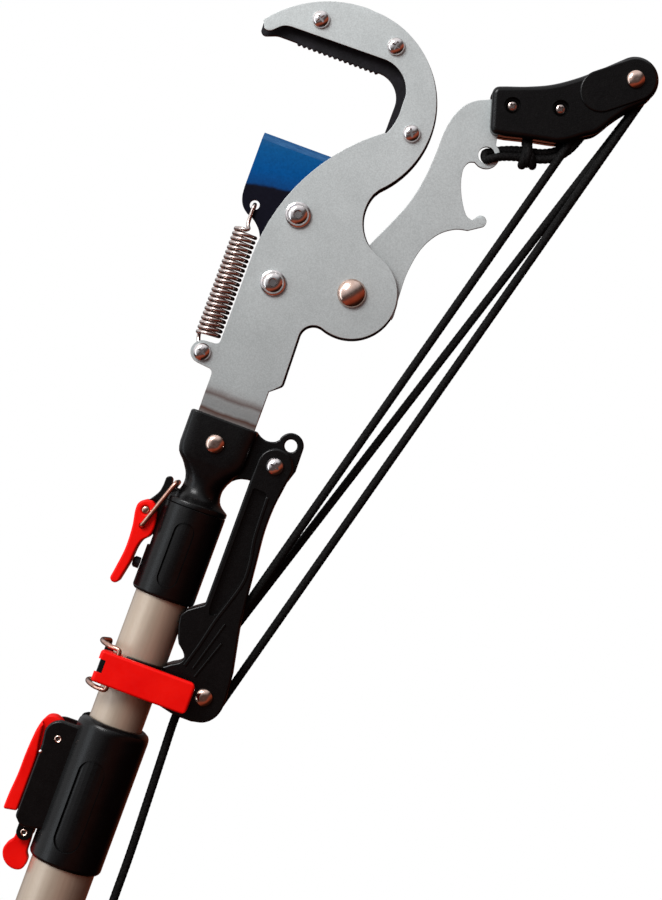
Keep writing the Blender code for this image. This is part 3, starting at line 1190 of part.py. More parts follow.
PARTS, CUTTERS = start_scene()
POLE_FRAME = add_frame("pole_frame", 0.0)
LOCK_FRAME = add_frame("pole_lock_frame", POLE_LOCK_TOP)
HEAD_FRAME = add_frame("head_frame", HEAD_HEIGHT)

build_plates(HEAD_FRAME)
build_hook_fasteners(HEAD_FRAME)
build_guides(HEAD_FRAME)
build_blade(HEAD_FRAME)
build_spring(HEAD_FRAME)
build_lever(HEAD_FRAME)
build_arm(HEAD_FRAME)
build_sheaves(HEAD_FRAME)
build_socket(HEAD_FRAME)
build_bracket(HEAD_FRAME)
build_clamp(HEAD_FRAME)
build_head_lock(HEAD_FRAME)
build_rope(HEAD_FRAME, POLE_FRAME)
build_tubes(POLE_FRAME)
build_cap_and_grip(POLE_FRAME)
build_pole_lock(LOCK_FRAME)
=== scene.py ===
"""Looks of the telescopic pole pruner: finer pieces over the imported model, materials, light and camera.

Pieces are drawn in millimetres from a zero at the head, at the pole lock or at the pole's foot. A finished
piece is moved into the row frame, in metres.
"""
import json
import math
from contextlib import contextmanager

import bmesh
import bpy
import numpy as np
from mathutils import Matrix, Vector


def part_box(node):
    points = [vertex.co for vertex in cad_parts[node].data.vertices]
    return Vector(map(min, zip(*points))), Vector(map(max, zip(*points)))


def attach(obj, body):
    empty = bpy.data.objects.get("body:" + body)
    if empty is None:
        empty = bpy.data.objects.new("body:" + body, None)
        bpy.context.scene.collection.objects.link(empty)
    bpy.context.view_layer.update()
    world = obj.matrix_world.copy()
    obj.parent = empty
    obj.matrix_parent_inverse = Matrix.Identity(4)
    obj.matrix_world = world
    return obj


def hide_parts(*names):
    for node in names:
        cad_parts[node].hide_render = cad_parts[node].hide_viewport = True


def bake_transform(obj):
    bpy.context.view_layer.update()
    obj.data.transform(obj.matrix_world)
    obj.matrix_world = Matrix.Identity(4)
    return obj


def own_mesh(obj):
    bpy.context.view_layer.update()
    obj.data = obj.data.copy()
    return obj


MM = 0.001

# Degrees between the points of an arc
ARC_STEP = 4.0

# Degrees between faces above which an edge stays sharp
GROUND = 25
FLAT = 38
MOULDED = 42
TURNED = 50
SMOOTH = 80

# Heights of the zeros that pieces are drawn from
HEAD = 1063.3
LOCK = 912.3
POLE = 0.0

# Places (x, z) that pieces share, in millimetres
PIVOT = (33.2, 70)
GUIDE_X = -2.0
GUIDES = {"lower": 62.1, "upper": 95.0}
HOOK_SCREWS = {"tip": (-23, 182), "top": (13.2, 182.2), "back": (33.5, 147.5)}
ARM_SCREWS = {"inner": (72.2, 174.7), "outer": (93.1, 181)}
SPRING_POST = (-21.4, 21.6)
SPRING_EYE = (-22.3, 92.8)
UPPER_AXLE = (120.3, 204.9)
LOWER_AXLE = (33.8, -125)
RING = (69, 150.6)
KNOT = (86.2, 157.6)
SOCKET_RIVET = (-1, -15.6)
EAR = (31.2, -4.6)
BRACKET_SCREW = (27.8, -15.9)
TOGGLE_PIN = (-20.4, -54.6)
TOGGLE_BAIL = (-19.6, -61.8)
TOGGLE_CATCH = (-11.5, -38)
CAM_PIN = (-21.6, -14.4)
CATCH_PIN = (-21.6, -59.9)
HANDLE = (33, 330)

# Places (x, y) on the clamp, seen from above
CLAMP_PIVOT = (-10, -13.4)
CLAMP_BAIL = (-8.5, -18.2)
CLAMP_CATCH = (-15.7, 8)

# Depths along Y from the middle plane
BLADE_HALF = 1.5
PLATE_IN = 1.8
PLATE_OUT = 4.3
SHEAVE_Y = 2.85
CHEEK_IN = 5.85
CHEEK_OUT = 8.65
BRACKET_HALF = 8.7
HEAD_GAP = 0.3
BRACKET_OUT = BRACKET_HALF + HEAD_GAP

# Radii of holes
SCREW_HOLE = 2.3
ARM_SCREW_HOLE = 2.0
RIVET_HOLE = 2.9
EAR_HOLE = 2.9
PIVOT_HOLE = 4.3
BUSH_HOLE = 5.8
BOLT_HOLE = 3.3
SLEEVE_HOLE = 4.3
AXLE_HOLE = 2.8
PIN_HOLE = 1.8
LOCK_PIN_HOLE = 1.9
BAIL_HOLE = 1.4

# Radius and height of a pan head, and radius of its shank
PAN_HEAD = (4.1, 2.5, 2)

# Serrated edge of the counter plate
ANVIL = 169.3
ANVIL_LEFT = -30.0
TOOTH_PITCH = 2.5

# Gear sector of the lever and rack of the blade
PITCH_RADIUS = 18.75
PITCH = 4.712
GEAR_TEETH = 25
GEAR_PLAY = 0.3
ROOT_DEPTH = 1.875
TIP_HEIGHT = 1.5
PRESSURE_ANGLE = math.radians(20)

# Tubes, as radii and as low and high ends, and what holds them
OUTER_TUBE = 15.0
INNER_TUBE = 12.5
TUBE_WALL = 1.2
TUBE_ENDS = {"outer": (4.3, 904.3), "inner": (7.6, 1015.7)}
FIT = 0.3
BORE = INNER_TUBE + FIT
HEAD_LOCK_RADIUS = 14.8
POLE_LOCK_RADIUS = 17.1
BAND = (-134.4, -118.6)

# Rope and its radius on a sheave, ends of the spring's coil, wire of the bails
ROPE = 4.0
WRAP = 8.0
SPRING_LOW = 29.6
SPRING_HIGH = 80.4
BAIL_WIRE = 2.2

# Directions of the picture: the pole leans to the right as it rises
ROLL = math.radians(20.25)
RIGHT = Vector((math.cos(ROLL), 0, math.sin(ROLL)))
UP = Vector((-math.sin(ROLL), 0, math.cos(ROLL)))
FRONT = Vector((0, -1, 0))


# Outlines

def arc(centre, radius, start, end):
    count = max(2, math.ceil(abs(end - start) / ARC_STEP))
    angles = [math.radians(start + (end - start) * i / count) for i in range(count + 1)]
    return [(centre[0] + radius * math.cos(a), centre[1] + radius * math.sin(a)) for a in angles]


def circle(centre, radius, count=40):
    angles = [2 * math.pi * i / count for i in range(count)]
    return [(centre[0] + radius * math.cos(a), centre[1] + radius * math.sin(a)) for a in angles]


def flow(points, steps=8):
    """A smooth Catmull-Rom run through points."""
    knots = [Vector(p) for p in points]
    knots = [2 * knots[0] - knots[1], *knots, 2 * knots[-1] - knots[-2]]
    run = []
    for a, b, c, d in zip(knots, knots[1:], knots[2:], knots[3:]):
        for i in range(steps):
            t = i / steps
            run.append(0.5 * (2 * b + (c - a) * t + (2 * a - 5 * b + 4 * c - d) * t**2
                              + (3 * b - a - 3 * c + d) * t**3))
    return [tuple(p) for p in run] + [tuple(points[-1])]


def bend(before, corner, after, reach, steps=8):
    a, p, c = Vector(before), Vector(corner), Vector(after)
    start = p + (a - p).normalized() * min(reach, (a - p).length * 0.49)
    end = p + (c - p).normalized() * min(reach, (c - p).length * 0.49)
    return [tuple(start.lerp(p, i / steps).lerp(p.lerp(end, i / steps), i / steps)) for i in range(steps + 1)]


def rounded(corners):
    """Outline of corners (x, z, reach), each rounded within its reach."""
    run = []
    for i, (x, z, reach) in enumerate(corners):
        before, after = corners[i - 1][:2], corners[(i + 1) % len(corners)][:2]
        run += bend(before, (x, z), after, reach)
    return run


def obround(x, low, high, half):
    return arc((x, high - half), half, 0, 180) + arc((x, low + half), half, 180, 360)


def soft_corners(route, corners, reach):
    """A wire's route with the points of these numbers rounded."""
    run = []
    for i, point in enumerate(route):
        run += bend(route[i - 1], point, route[i + 1], reach, 6) if i in corners else [point]
    return run


# Solids in millimetres

def link(obj):
    bpy.context.scene.collection.objects.link(obj)
    return obj


@contextmanager
def editing(mesh):
    """The faces of a mesh, open to change and written back at the end."""
    bm = bmesh.new()
    bm.from_mesh(mesh)
    yield bm
    bm.to_mesh(mesh)
    bm.free()


def mesh_of(obj):
    """Evaluated copy of an object as a welded mesh in its own place; the object goes."""
    bpy.context.view_layer.update()
    graph = bpy.context.evaluated_depsgraph_get()
    mesh = bpy.data.meshes.new_from_object(obj.evaluated_get(graph))
    mesh.transform(obj.matrix_world)
    with editing(mesh) as bm:
        bmesh.ops.remove_doubles(bm, verts=bm.verts, dist=0.0015)
        bmesh.ops.recalc_face_normals(bm, faces=bm.faces)
    bpy.data.objects.remove(obj)
    return mesh


def raw(mesh):
    return link(bpy.data.objects.new("raw", mesh))


def slab(loops, low, high, edge=0, plan=False, turns=2):
    """Flat outline with thickness along Y, or along Z where plan is set, and edges rounded by edge."""
    curve = bpy.data.curves.new("slab", "CURVE")
    curve.dimensions = "2D"
    curve.fill_mode = "BOTH"
    curve.extrude = (high - low) / 2 - edge
    curve.bevel_depth = edge
    curve.bevel_resolution = turns
    curve.offset = -edge
    for loop in loops:
        spline = curve.splines.new("POLY")
        spline.points.add(len(loop) - 1)
        for point, (u, v) in zip(spline.points, loop):
            point.co = (u, v, 0, 1)
        spline.use_cyclic_u = True
    flat = link(bpy.data.objects.new("slab", curve))
    middle = (low + high) / 2
    flat.location = (0, 0, middle) if plan else (0, middle, 0)
    flat.rotation_euler = (0, 0, 0) if plan else (math.pi / 2, 0, 0)
    return raw(mesh_of(flat))


def tube_faces(rows, sides, closed=False):
    """Faces between rows of points, each row a ring of sides points."""
    faces = []
    for k in range(rows if closed else rows - 1):
        here, there = k * sides, (k + 1) % rows * sides
        for i in range(sides):
            j = (i + 1) % sides
            faces.append((here + i, here + j, there + j, there + i))
    return faces


def lathe(profile, centre=(0, 0, 0), along="Z", steps=64):
    """Profile (radius, height) turned about an axis through centre, closed at the axis or into a ring."""
    angles = [2 * math.pi * i / steps for i in range(steps)]
    verts = [(r * math.cos(a), r * math.sin(a), h) for r, h in profile for a in angles]
    mesh = bpy.data.meshes.new("lathe")
    mesh.from_pydata(verts, [], tube_faces(len(profile), steps, profile[0][0] > 0))
    quarters = {"Z": 0, "Y": -1, "-Y": 1}[along]
    mesh.transform(Matrix.Translation(Vector(centre)) @ Matrix.Rotation(quarters * math.pi / 2, 4, "X"))
    with editing(mesh) as bm:
        bmesh.ops.remove_doubles(bm, verts=bm.verts, dist=0.0005)
        bmesh.ops.dissolve_degenerate(bm, edges=bm.edges, dist=0.0005)
        bmesh.ops.recalc_face_normals(bm, faces=bm.faces)
    return raw(mesh)


def bar(points, diameter, resolution=3):
    """Round wire along points."""
    curve = bpy.data.curves.new("bar", "CURVE")
    curve.dimensions = "3D"
    curve.bevel_depth = diameter / 2
    curve.bevel_resolution = resolution
    curve.use_fill_caps = True
    spline = curve.splines.new("POLY")
    spline.points.add(len(points) - 1)
    for point, place in zip(spline.points, points):
        point.co = (*place, 1)
    return raw(mesh_of(link(bpy.data.objects.new("bar", curve))))


def box(low, high):
    mesh = bpy.data.meshes.new("box")
    with editing(mesh) as bm:
        bmesh.ops.create_cube(bm, size=1)
        for vert in bm.verts:
            vert.co = [l + (h - l) * (c + 0.5) for l, h, c in zip(low, high, vert.co)]
    return raw(mesh)


def apply_tools(obj, tools, operation):
    for tool in tools:
        change = obj.modifiers.new("tool", "BOOLEAN")
        change.operation = operation
        change.solver = "EXACT"
        change.object = tool
    mesh = mesh_of(obj)
    for tool in tools:
        bpy.data.objects.remove(tool)
    return raw(mesh)


def cut(obj, *tools):
    return apply_tools(obj, tools, "DIFFERENCE")


def join(obj, *tools):
    return apply_tools(obj, tools, "UNION")


def group(*objs):
    """One object of several separate solids."""
    mesh = bpy.data.meshes.new("group")
    with editing(mesh) as bm:
        for obj in objs:
            bm.from_mesh(obj.data)
            bpy.data.objects.remove(obj)
    return raw(mesh)


def rod(centre, radius, low, high, plan=False, count=48):
    return slab([circle(centre, radius, count)], low, high, 0, plan)


def hole(centre, radius, reach=20):
    """Cutter for a hole right through, along Y."""
    return rod(centre, radius, -reach, reach)


def reach_y(side, near, far):
    """Low and high Y of what lies between near and far on the front, -1, or the back, 1."""
    return sorted((side * near, side * far))


def bevelled(obj, width, segments=2, angle=35):
    """Round the edges that a Boolean has left sharp."""
    with editing(obj.data) as bm:
        bmesh.ops.dissolve_limit(bm, angle_limit=math.radians(0.6), verts=bm.verts, edges=bm.edges)
    edge = obj.modifiers.new("edge", "BEVEL")
    edge.width = width
    edge.segments = segments
    edge.limit_method = "ANGLE"
    edge.angle_limit = math.radians(angle)
    edge.use_clamp_overlap = True
    return raw(mesh_of(obj))


def piece(name, obj, look, node=None, sharp=FLAT, body="head", level=HEAD):
    """Name a finished solid, move it to the row frame, and give it its look and the body that it rides on."""
    obj.name = name
    obj.data.name = name
    obj.data.transform(Matrix.Translation((0, 0, level * MM)) @ Matrix.Scale(MM, 4))
    obj.data.materials.clear()
    looks = look if isinstance(look, tuple) else (look,)
    for spec in looks:
        obj.data.materials.append(LOOKS[spec][0])
    obj.data.shade_smooth()
    obj.data.set_sharp_from_angle(angle=math.radians(sharp))
    if sharp < SMOOTH:
        flats = obj.modifiers.new("flats", "WEIGHTED_NORMAL")
        flats.weight = 90
        flats.keep_sharp = True
    if body:
        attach(obj, body)
    if node:
        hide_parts(node)
    return obj


def paint_sides(obj):
    """Second material, painted shade, on the side walls and the third on the bevels of a plate's edges."""
    for face in obj.data.polygons:
        if abs(face.normal.y) < 0.9:
            face.material_index = 1 if abs(face.normal.y) < 0.3 else 2
    return obj


# Materials

LOOKS = {}
SHADER_INPUTS = {"rough": "Roughness", "metal": "Metallic", "specular": "Specular IOR Level",
                 "coat": "Coat Weight", "coat_rough": "Coat Roughness", "aniso": "Anisotropic"}

# Name, slot, constants, colour and roughness as (noise, low, high, ends), bump as (noise, strength, depth).
# A noise is (scale, detail, roughness, stretch). Where a part is None, the shader's own value stays.
PLAIN_LOOKS = (
    # Painted shade: dark brown for the side walls of the plates and the lever, where their thickness falls in
    # shade.
    ("plate_side_shade", "silver_plate", {"rough": 0.5, "specular": 0.2},
     ((400, 4, 0.6), (0.008, 0.005, 0.004), (0.035, 0.02, 0.016), (0.35, 0.7)), None, None),
    ("plate_rim", "silver_plate", {"metal": 1.0},
     ((300, 4, 0.6), (0.5, 0.42, 0.4), (0.75, 0.68, 0.66), (0.35, 0.7)),
     ((500, 4, 0.6), 0.25, 0.35, (0.35, 0.7)), None),
    ("black_plate", "black_plate", {"specular": 0.2},
     ((300, 4, 0.6), (0.005, 0.0045, 0.006), (0.012, 0.011, 0.015), (0.35, 0.7)),
     ((500, 4, 0.6), 0.36, 0.5, (0.35, 0.7)), ((1800, 3, 0.6), 0.2, 0.0002)),
    ("ground_edge", "blue_blade", {"metal": 0.2, "specular": 0.2},
     ((900, 3, 0.6, (0.2, 1, 1)), (0.006, 0.06, 0.18), (0.03, 0.12, 0.28)),
     ((900, 3, 0.6, (0.2, 1, 1)), 0.35, 0.5), None),
    ("nickel", "nickel", {"metal": 1.0},
     ((500, 4, 0.6), (0.7, 0.64, 0.63), (0.88, 0.83, 0.83)), ((900, 4, 0.6), 0.07, 0.13),
     ((1200, 3, 0.6), 0.1, 0.0001)),
    ("rivet", "nickel", {"metal": 1.0},
     ((300, 4, 0.6), (0.62, 0.42, 0.34), (0.8, 0.6, 0.52)), ((700, 4, 0.6), 0.12, 0.2),
     ((900, 3, 0.6), 0.12, 0.0001)),
    # Painted shade: a dark metal for the floors and walls of recesses and the bores of tubular rivets.
    ("recess", "nickel", {"metal": 0.5},
     ((500, 4, 0.6), (0.03, 0.02, 0.018), (0.09, 0.06, 0.055)), ((700, 3, 0.6), 0.4, 0.6), None),
    ("bail_wire", "nickel", {"metal": 1.0},
     ((400, 4, 0.6), (0.38, 0.19, 0.14), (0.66, 0.4, 0.32)), ((900, 3, 0.6), 0.16, 0.26), None),
    ("spring_steel", "spring_steel", {"metal": 1.0},
     ((600, 3, 0.6), (0.42, 0.33, 0.3), (0.64, 0.55, 0.52)), ((900, 3, 0.6), 0.14, 0.24), None),
    ("tube_aluminium", "tube_aluminium", {"metal": 0.35, "aniso": 0.3, "coat": 1, "coat_rough": 0.35},
     ((500, 4, 0.6, (1, 1, 0.05)), (0.41, 0.32, 0.24), (0.46, 0.37, 0.28)), ((300, 4, 0.6), 0.38, 0.46),
     ((1500, 3, 0.6), 0.08, 0.0001)),
    ("black_plastic", "black_plastic", {"specular": 0.25},
     ((180, 4, 0.6), (0.0018, 0.0016, 0.0017), (0.0034, 0.003, 0.0031)), ((700, 4, 0.6), 0.2, 0.29),
     ((1600, 4, 0.65), 0.25, 0.0002)),
    ("red_plastic", "red_plastic", {"specular": 0.12},
     ((60, 3, 0.5), (0.78, 0.002, 0.001), (0.9, 0.006, 0.003)), ((500, 3, 0.6), 0.32, 0.45),
     ((900, 3, 0.6), 0.12, 0.0002)),
    ("black_rubber", "black_rubber", {"specular": 0.3},
     ((300, 4, 0.6), (0.006, 0.006, 0.006), (0.014, 0.013, 0.013)), ((900, 4, 0.6), 0.65, 0.85),
     ((2500, 4, 0.65), 0.5, 0.0003)),
    ("black_rope", "black_rope", {"specular": 0.08},
     ((1700, 3, 0.7), (0.001, 0.001, 0.001), (0.014, 0.013, 0.013), (0.42, 0.66)),
     ((1500, 3, 0.6), 0.55, 0.8), ((5000, 2, 0.7), 0.5, 0.0002)),
)


def fill_ramp(elements, stops):
    """Fill a colour ramp with (place, colour or grey) stops in rising order."""
    elements[0].position, elements[1].position = stops[0][0], stops[-1][0]
    for place, _ in stops[1:-1]:
        elements.new(place)
    for element, (_, colour) in zip(elements, stops):
        element.color = (*colour, 1) if isinstance(colour, tuple) else (colour, colour, colour, 1)


def new_node(tree, kind, inputs=None, **settings):
    """Node with its settings, and for each input a value or the socket that is wired to it."""
    node = tree.nodes.new(kind)
    for key, value in settings.items():
        setattr(node, key, value)
    for key, value in (inputs or {}).items():
        socket = next(s for i, s in enumerate(node.inputs) if key in (i, s.identifier, s.name))
        if isinstance(value, bpy.types.NodeSocket):
            tree.links.new(value, socket)
        elif socket.type == "RGBA":
            socket.default_value = (*value, 1)
        else:
            socket.default_value = value
    return node


class Nodes:
    """One procedural material, kept in LOOKS beside the record's slot that it belongs to."""

    def __init__(self, name, slot, constants):
        material = bpy.data.materials.new("look_" + name)
        LOOKS[name] = (material, slot)
        material.use_nodes = True
        self.tree = material.node_tree
        self.shader = self.tree.nodes["Principled BSDF"]
        self.place = new_node(self.tree, "ShaderNodeTexCoord").outputs["Object"]
        for key, value in constants.items():
            self.shader.inputs[SHADER_INPUTS[key]].default_value = value

    def noise(self, scale, detail, rough, stretch=None):
        place = self.place
        if stretch:
            mapping = new_node(self.tree, "ShaderNodeMapping", {"Vector": place, "Scale": stretch})
            place = mapping.outputs["Vector"]
        inputs = {"Scale": scale, "Detail": detail, "Roughness": rough, "Vector": place}
        return new_node(self.tree, "ShaderNodeTexNoise", inputs).outputs["Fac"]

    def ramp(self, fac, stops):
        node = new_node(self.tree, "ShaderNodeValToRGB", {"Fac": fac})
        fill_ramp(node.color_ramp.elements, stops)
        return node.outputs["Color"]

    def drift(self, noise, low, high, ends=(0.3, 0.7)):
        """Colour or grey that wanders from low to high with a noise."""
        return self.ramp(self.noise(*noise), [(ends[0], low), (ends[1], high)])

    def math(self, operation, one, two):
        return new_node(self.tree, "ShaderNodeMath", {0: one, 1: two}, operation=operation).outputs["Value"]

    def mix(self, fac, one, two, kind="MIX"):
        inputs = {"Factor_Float": fac, "A_Color": one, "B_Color": two}
        node = new_node(self.tree, "ShaderNodeMix", inputs, data_type="RGBA", blend_type=kind)
        return next(socket for socket in node.outputs if socket.enabled)

    def axis(self, letter):
        return new_node(self.tree, "ShaderNodeSeparateXYZ", {"Vector": self.place}).outputs[letter]

    def height(self):
        """Height above the zero of the head, in metres."""
        return self.math("SUBTRACT", self.axis("Z"), HEAD * MM)

    def waved(self, level, scale, depth):
        """Level with a wander of depth from one extreme to the other."""
        wave = self.math("SUBTRACT", self.noise(scale, 3, 0.6), 0.5)
        return self.math("ADD", level, self.math("MULTIPLY", wave, depth))

    def finish(self, colour, rough, bump):
        """Wire the colour and, where they are given, the roughness and a bump as (noise, strength, depth)."""
        self.tree.links.new(colour, self.shader.inputs["Base Color"])
        if rough:
            self.tree.links.new(rough, self.shader.inputs["Roughness"])
        if bump:
            noise, strength, depth = bump
            inputs = {"Height": self.noise(*noise), "Strength": strength, "Distance": depth}
            normal = new_node(self.tree, "ShaderNodeBump", inputs).outputs["Normal"]
            self.tree.links.new(normal, self.shader.inputs["Normal"])


def make_plain_looks():
    for name, slot, constants, colour, rough, bump in PLAIN_LOOKS:
        m = Nodes(name, slot, constants)
        m.finish(m.drift(*colour), m.drift(*rough) if rough else None, bump)


def make_plate_look():
    """Blasted silver coat, with painted light that makes it lighter towards the hook and painted shade in
    dark lines where the tang is bent.
    """
    m = Nodes("silver_plate", "silver_plate", {"metal": 0.25, "specular": 0.35})
    cloud = m.drift((28, 5, 0.6), (0.38, 0.412, 0.412), (0.428, 0.462, 0.462))
    grain = m.drift((1700, 2, 0.7), 0.88, 1.05, (0.38, 0.62))
    height = m.height()
    # Painted light: the coat grows lighter with height, as the light falls off downwards.
    painted_light_tone = m.ramp(m.math("MULTIPLY", height, 5),
                  [(0, 0.9), (0.2, 1.03), (0.35, 1.07), (0.5, 1.13), (0.7, 1.2), (0.9, 1.22)])
    paint = m.mix(1, m.mix(1, cloud, grain, "MULTIPLY"), painted_light_tone, "MULTIPLY")
    # Painted shade: dark brown lines across the two bends of the tang.
    level = m.math("MULTIPLY", m.math("ADD", m.waved(height, 90, 0.002), 0.0045), 50)
    bend_shade = m.ramp(level, [(0, 0.45), (0.06, 0.75), (0.13, 1), (0.2, 0.25), (0.3, 0.08), (0.42, 0.1),
                          (0.5, 0.75), (0.57, 0.5), (0.66, 0.12), (0.8, 0)])
    m.finish(m.mix(bend_shade, paint, (0.075, 0.03, 0.02)), m.drift((60, 4, 0.6), 0.42, 0.55),
             ((1500, 3, 0.6), 0.25, 0.0002))


def make_blade_look():
    """Blue coat over a dark shank, with a slanting border between them."""
    m = Nodes("blue_blade", "blue_blade", {"metal": 0.1, "specular": 0.04})
    slanted = m.math("ADD", m.height(), m.math("MULTIPLY", m.axis("X"), -0.16))
    level = m.math("DIVIDE", m.waved(slanted, 110, 0.0025), 0.13)
    blue = m.ramp(level, [(0, (0.004, 0.004, 0.008)), (0.808, (0.006, 0.006, 0.012)),
                          (0.818, (0.004, 0.052, 0.19)), (0.87, (0.001, 0.073, 0.26)),
                          (0.95, (0.004, 0.085, 0.26)), (1, (0.02, 0.1, 0.24))])
    speck = m.drift((900, 3, 0.65), 0.8, 1.05)
    m.finish(m.mix(1, blue, speck, "MULTIPLY"), m.drift((240, 4, 0.6), 0.38, 0.5),
             ((1500, 3, 0.6), 0.15, 0.0002))


# Fasteners

def dome(radius, height, lip=0):
    angles = [math.pi / 16 * i for i in range(9)]
    return [(radius * math.sin(a), lip + (height - lip) * math.cos(a)) for a in angles]


def cross_recess(top, reach):
    """Cutters for a cross recess in a head that stands on y = 0 and faces the front."""
    half = 0.45
    arms = ((reach, half), (half, reach))
    return [slab([[(-x, -z), (x, -z), (x, z), (-x, z)]], -top - 3, 1.9 - top) for x, z in arms]


def pan_screw(centre, radius, height, shank, seat, end, turn):
    """Pan head with a rounded top and a cross recess, and its shank."""
    tail = -(seat + end)
    profile = [(0, height), (radius * 0.35, height * 0.99), (radius * 0.62, height * 0.9),
               (radius * 0.82, height * 0.7), (radius * 0.95, height * 0.4), (radius, height * 0.15),
               (radius, 0.15), (radius - 0.15, 0), (shank, 0), (shank, tail + 0.4), (shank - 0.4, tail),
               (0, tail)]
    screw = cut(lathe(profile, (0, 0, 0), "-Y", 40), *cross_recess(height, radius * 0.5))
    place = Matrix.Translation((centre[0], -seat, centre[1]))
    screw.data.transform(place @ Matrix.Rotation(math.radians(turn), 4, "Y"))
    # The faces of the cross recess get painted shade.
    return paint_recess_shade(screw, centre, radius * 0.52, seat + height * 0.8)


def paint_recess_shade(obj, centre, reach, level):
    """Painted shade: the second material on the faces of a recess, that lie deeper than level and nearer than
    reach.
    """
    for face in obj.data.polygons:
        x, y, z = face.center
        if y > -level and y < -1 and math.hypot(x - centre[0], z - centre[1]) < reach:
            face.material_index = 1
    return obj


def rivet(centre, radius, height, shank, half, tail, flat):
    """Domed head in front, flattened by a share of its height, and a formed head behind."""
    front = dome(radius, height, 0.35)
    if flat:
        front = [(0, height * (1 - flat))] + [(r, min(h, height * (1 - flat))) for r, h in front]
    length = 2 * half
    back = [(r, -length - h) for r, h in reversed(dome(tail, height * 0.7, 0.3))]
    return lathe(front + [(radius, 0), (shank, 0), (shank, -length), (tail, -length)] + back,
                 (centre[0], -half, centre[1]), "-Y", 56)


def button_bolt(centre, seat, end):
    """Button head with a hexagon socket on a thin flange."""
    x, z = centre
    profile = [(0, 3.3), (2.9, 3.25), (3.9, 2.9), (4.7, 2.1), (5, 1.3), (5.2, 1.15), (5.8, 1), (5.9, 0.6),
               (5.9, 0), (2.8, 0), (2.8, -seat - end), (0, -seat - end)]
    hexagon = slab([circle(centre, 1.9, 6)], -seat - 5, -seat - 1.1)
    mouth = lathe([(0, 1), (3, 1), (1.6, -0.4), (0, -0.4)], (x, -seat - 3.3, z), "-Y", 40)
    bolt = cut(lathe(profile, (x, -seat, z), "-Y", 56), hexagon, mouth)
    # The faces of the hexagon socket get painted shade.
    return paint_recess_shade(bolt, centre, 1.95, seat + 2.7)


# Plates, blade and lever

def hook_outline(inner, more=0):
    """Outer edge shared by both plates; the right side stands out by more."""
    outline = list(inner)
    outline += arc((-4, 139), 55.2, 142, 91)
    outline += arc((-2, 150), 43.9 + more, 89, -45.5)
    outline += arc((45.6, 108.5), 20.0 - more, 159, 232)
    outline += arc(PIVOT, 20.7 + more, 76, -109.5)
    outline += arc((24.2, 43.8), 7.0 - more, 79, 180)
    outline += bend((17.3 + more, 42), (17.9 + more, 19.4), (13.2, 15.4), 1.5)
    outline += [(13.2, 15), (13.4, -23.8), (10.6, -29), (-10.8, -29), (-13.9, -23.8), (-13.9, 11.5)]
    outline += bend((-13.9, 11.5), (-14.1, 15.4), (-18.5, 16.2), 2.2)
    outline += arc(SPRING_POST, 5.3, -95, -262)
    outline += bend((-20, 27), (-15.3, 27.4), (-15.3, 32), 2.5)
    outline += arc((76.1, 70), 91.4, 180, 126.6)
    return outline


def front_inner():
    run = arc((-1, 155), 26.3, -25, 6) + arc((10.3, 160), 15, 10, 90)
    run += bend((10.3, 175), (-37.5, 174.3), (-41.5, 170.4), 4)
    return run + bend((-38.5, 173.3), (-43.6, 168.4), (-48.6, 170.6), 2.5)


def anvil_inner():
    """The throat, 16 teeth along the anvil, and its lip."""
    run = [(21.9, 143)] + arc((9.9, 157.3), 12, 0, 90)
    for i in range(16):
        right = ANVIL_LEFT + TOOTH_PITCH * (16 - i)
        for t, drop in ((0.12, 0), (0.3, 0.55), (0.5, 0.9), (0.7, 0.9), (0.88, 0.4)):
            run.append((right - TOOTH_PITCH * t, ANVIL - drop))
    run += [(ANVIL_LEFT, ANVIL)] + bend((ANVIL_LEFT, ANVIL), (-39.6, ANVIL), (-43, 167.8), 2)
    return run + bend((-40, ANVIL), (-46, 166.6), (-48.7, 171), 2.5)


def joggled(obj, side):
    """Step the tang towards the middle in two soft bends."""
    top, drop, step, rows = 6.4, 8, 1.65, 12
    with editing(obj.data) as bm:
        for k in range(rows + 1):
            geometry = bm.verts[:] + bm.edges[:] + bm.faces[:]
            bmesh.ops.bisect_plane(bm, geom=geometry, dist=1e-5, plane_co=(0, 0, top - drop * k / rows),
                                   plane_no=(0, 0, 1))
        for vert in bm.verts:
            t = min(1, max(0, (top - vert.co.z) / drop))
            vert.co.y -= side * step * (t * t * (3 - 2 * t))
    return obj


def make_plates():
    small = [circle(place, SCREW_HOLE) for place in HOOK_SCREWS.values()]
    shared = [circle(PIVOT, PIVOT_HOLE), circle(SPRING_POST, SCREW_HOLE), circle(SOCKET_RIVET, RIVET_HOLE)]
    guides = [circle((GUIDE_X, z), BOLT_HOLE) for z in GUIDES.values()]
    sleeves = [circle((GUIDE_X, z), SLEEVE_HOLE) for z in GUIDES.values()]
    loops = [hook_outline(front_inner()), *small, *guides, *shared]
    front = joggled(slab(loops, -PLATE_OUT, -PLATE_IN, 0.25, turns=1), -1)
    # Painted shade on the front plate's side walls; its bevels get a bare metal rim.
    paint_sides(piece("plate_front", front, ("silver_plate", "plate_side_shade", "plate_rim"), "front_plate"))
    loops = [hook_outline(anvil_inner(), 0.7), *small, *sleeves, *shared]
    back = joggled(slab(loops, PLATE_IN, PLATE_OUT, 0.25, turns=1), 1)
    piece("plate_counter", back, "black_plate", "counter_plate")


def rack_teeth(root, tip):
    """Teeth down the right edge of the blade's shank, from the top."""
    half, slope = PITCH / 4 - GEAR_PLAY / 2, math.tan(PRESSURE_ANGLE)
    low, high = half + ROOT_DEPTH * slope, half - TIP_HEIGHT * slope
    run = []
    for k in range(-1, 12):
        z = PIVOT[1] - PITCH * k
        run += [(root, z + low), (tip, z + high), (tip, z - high), (root, z - low)]
    return run


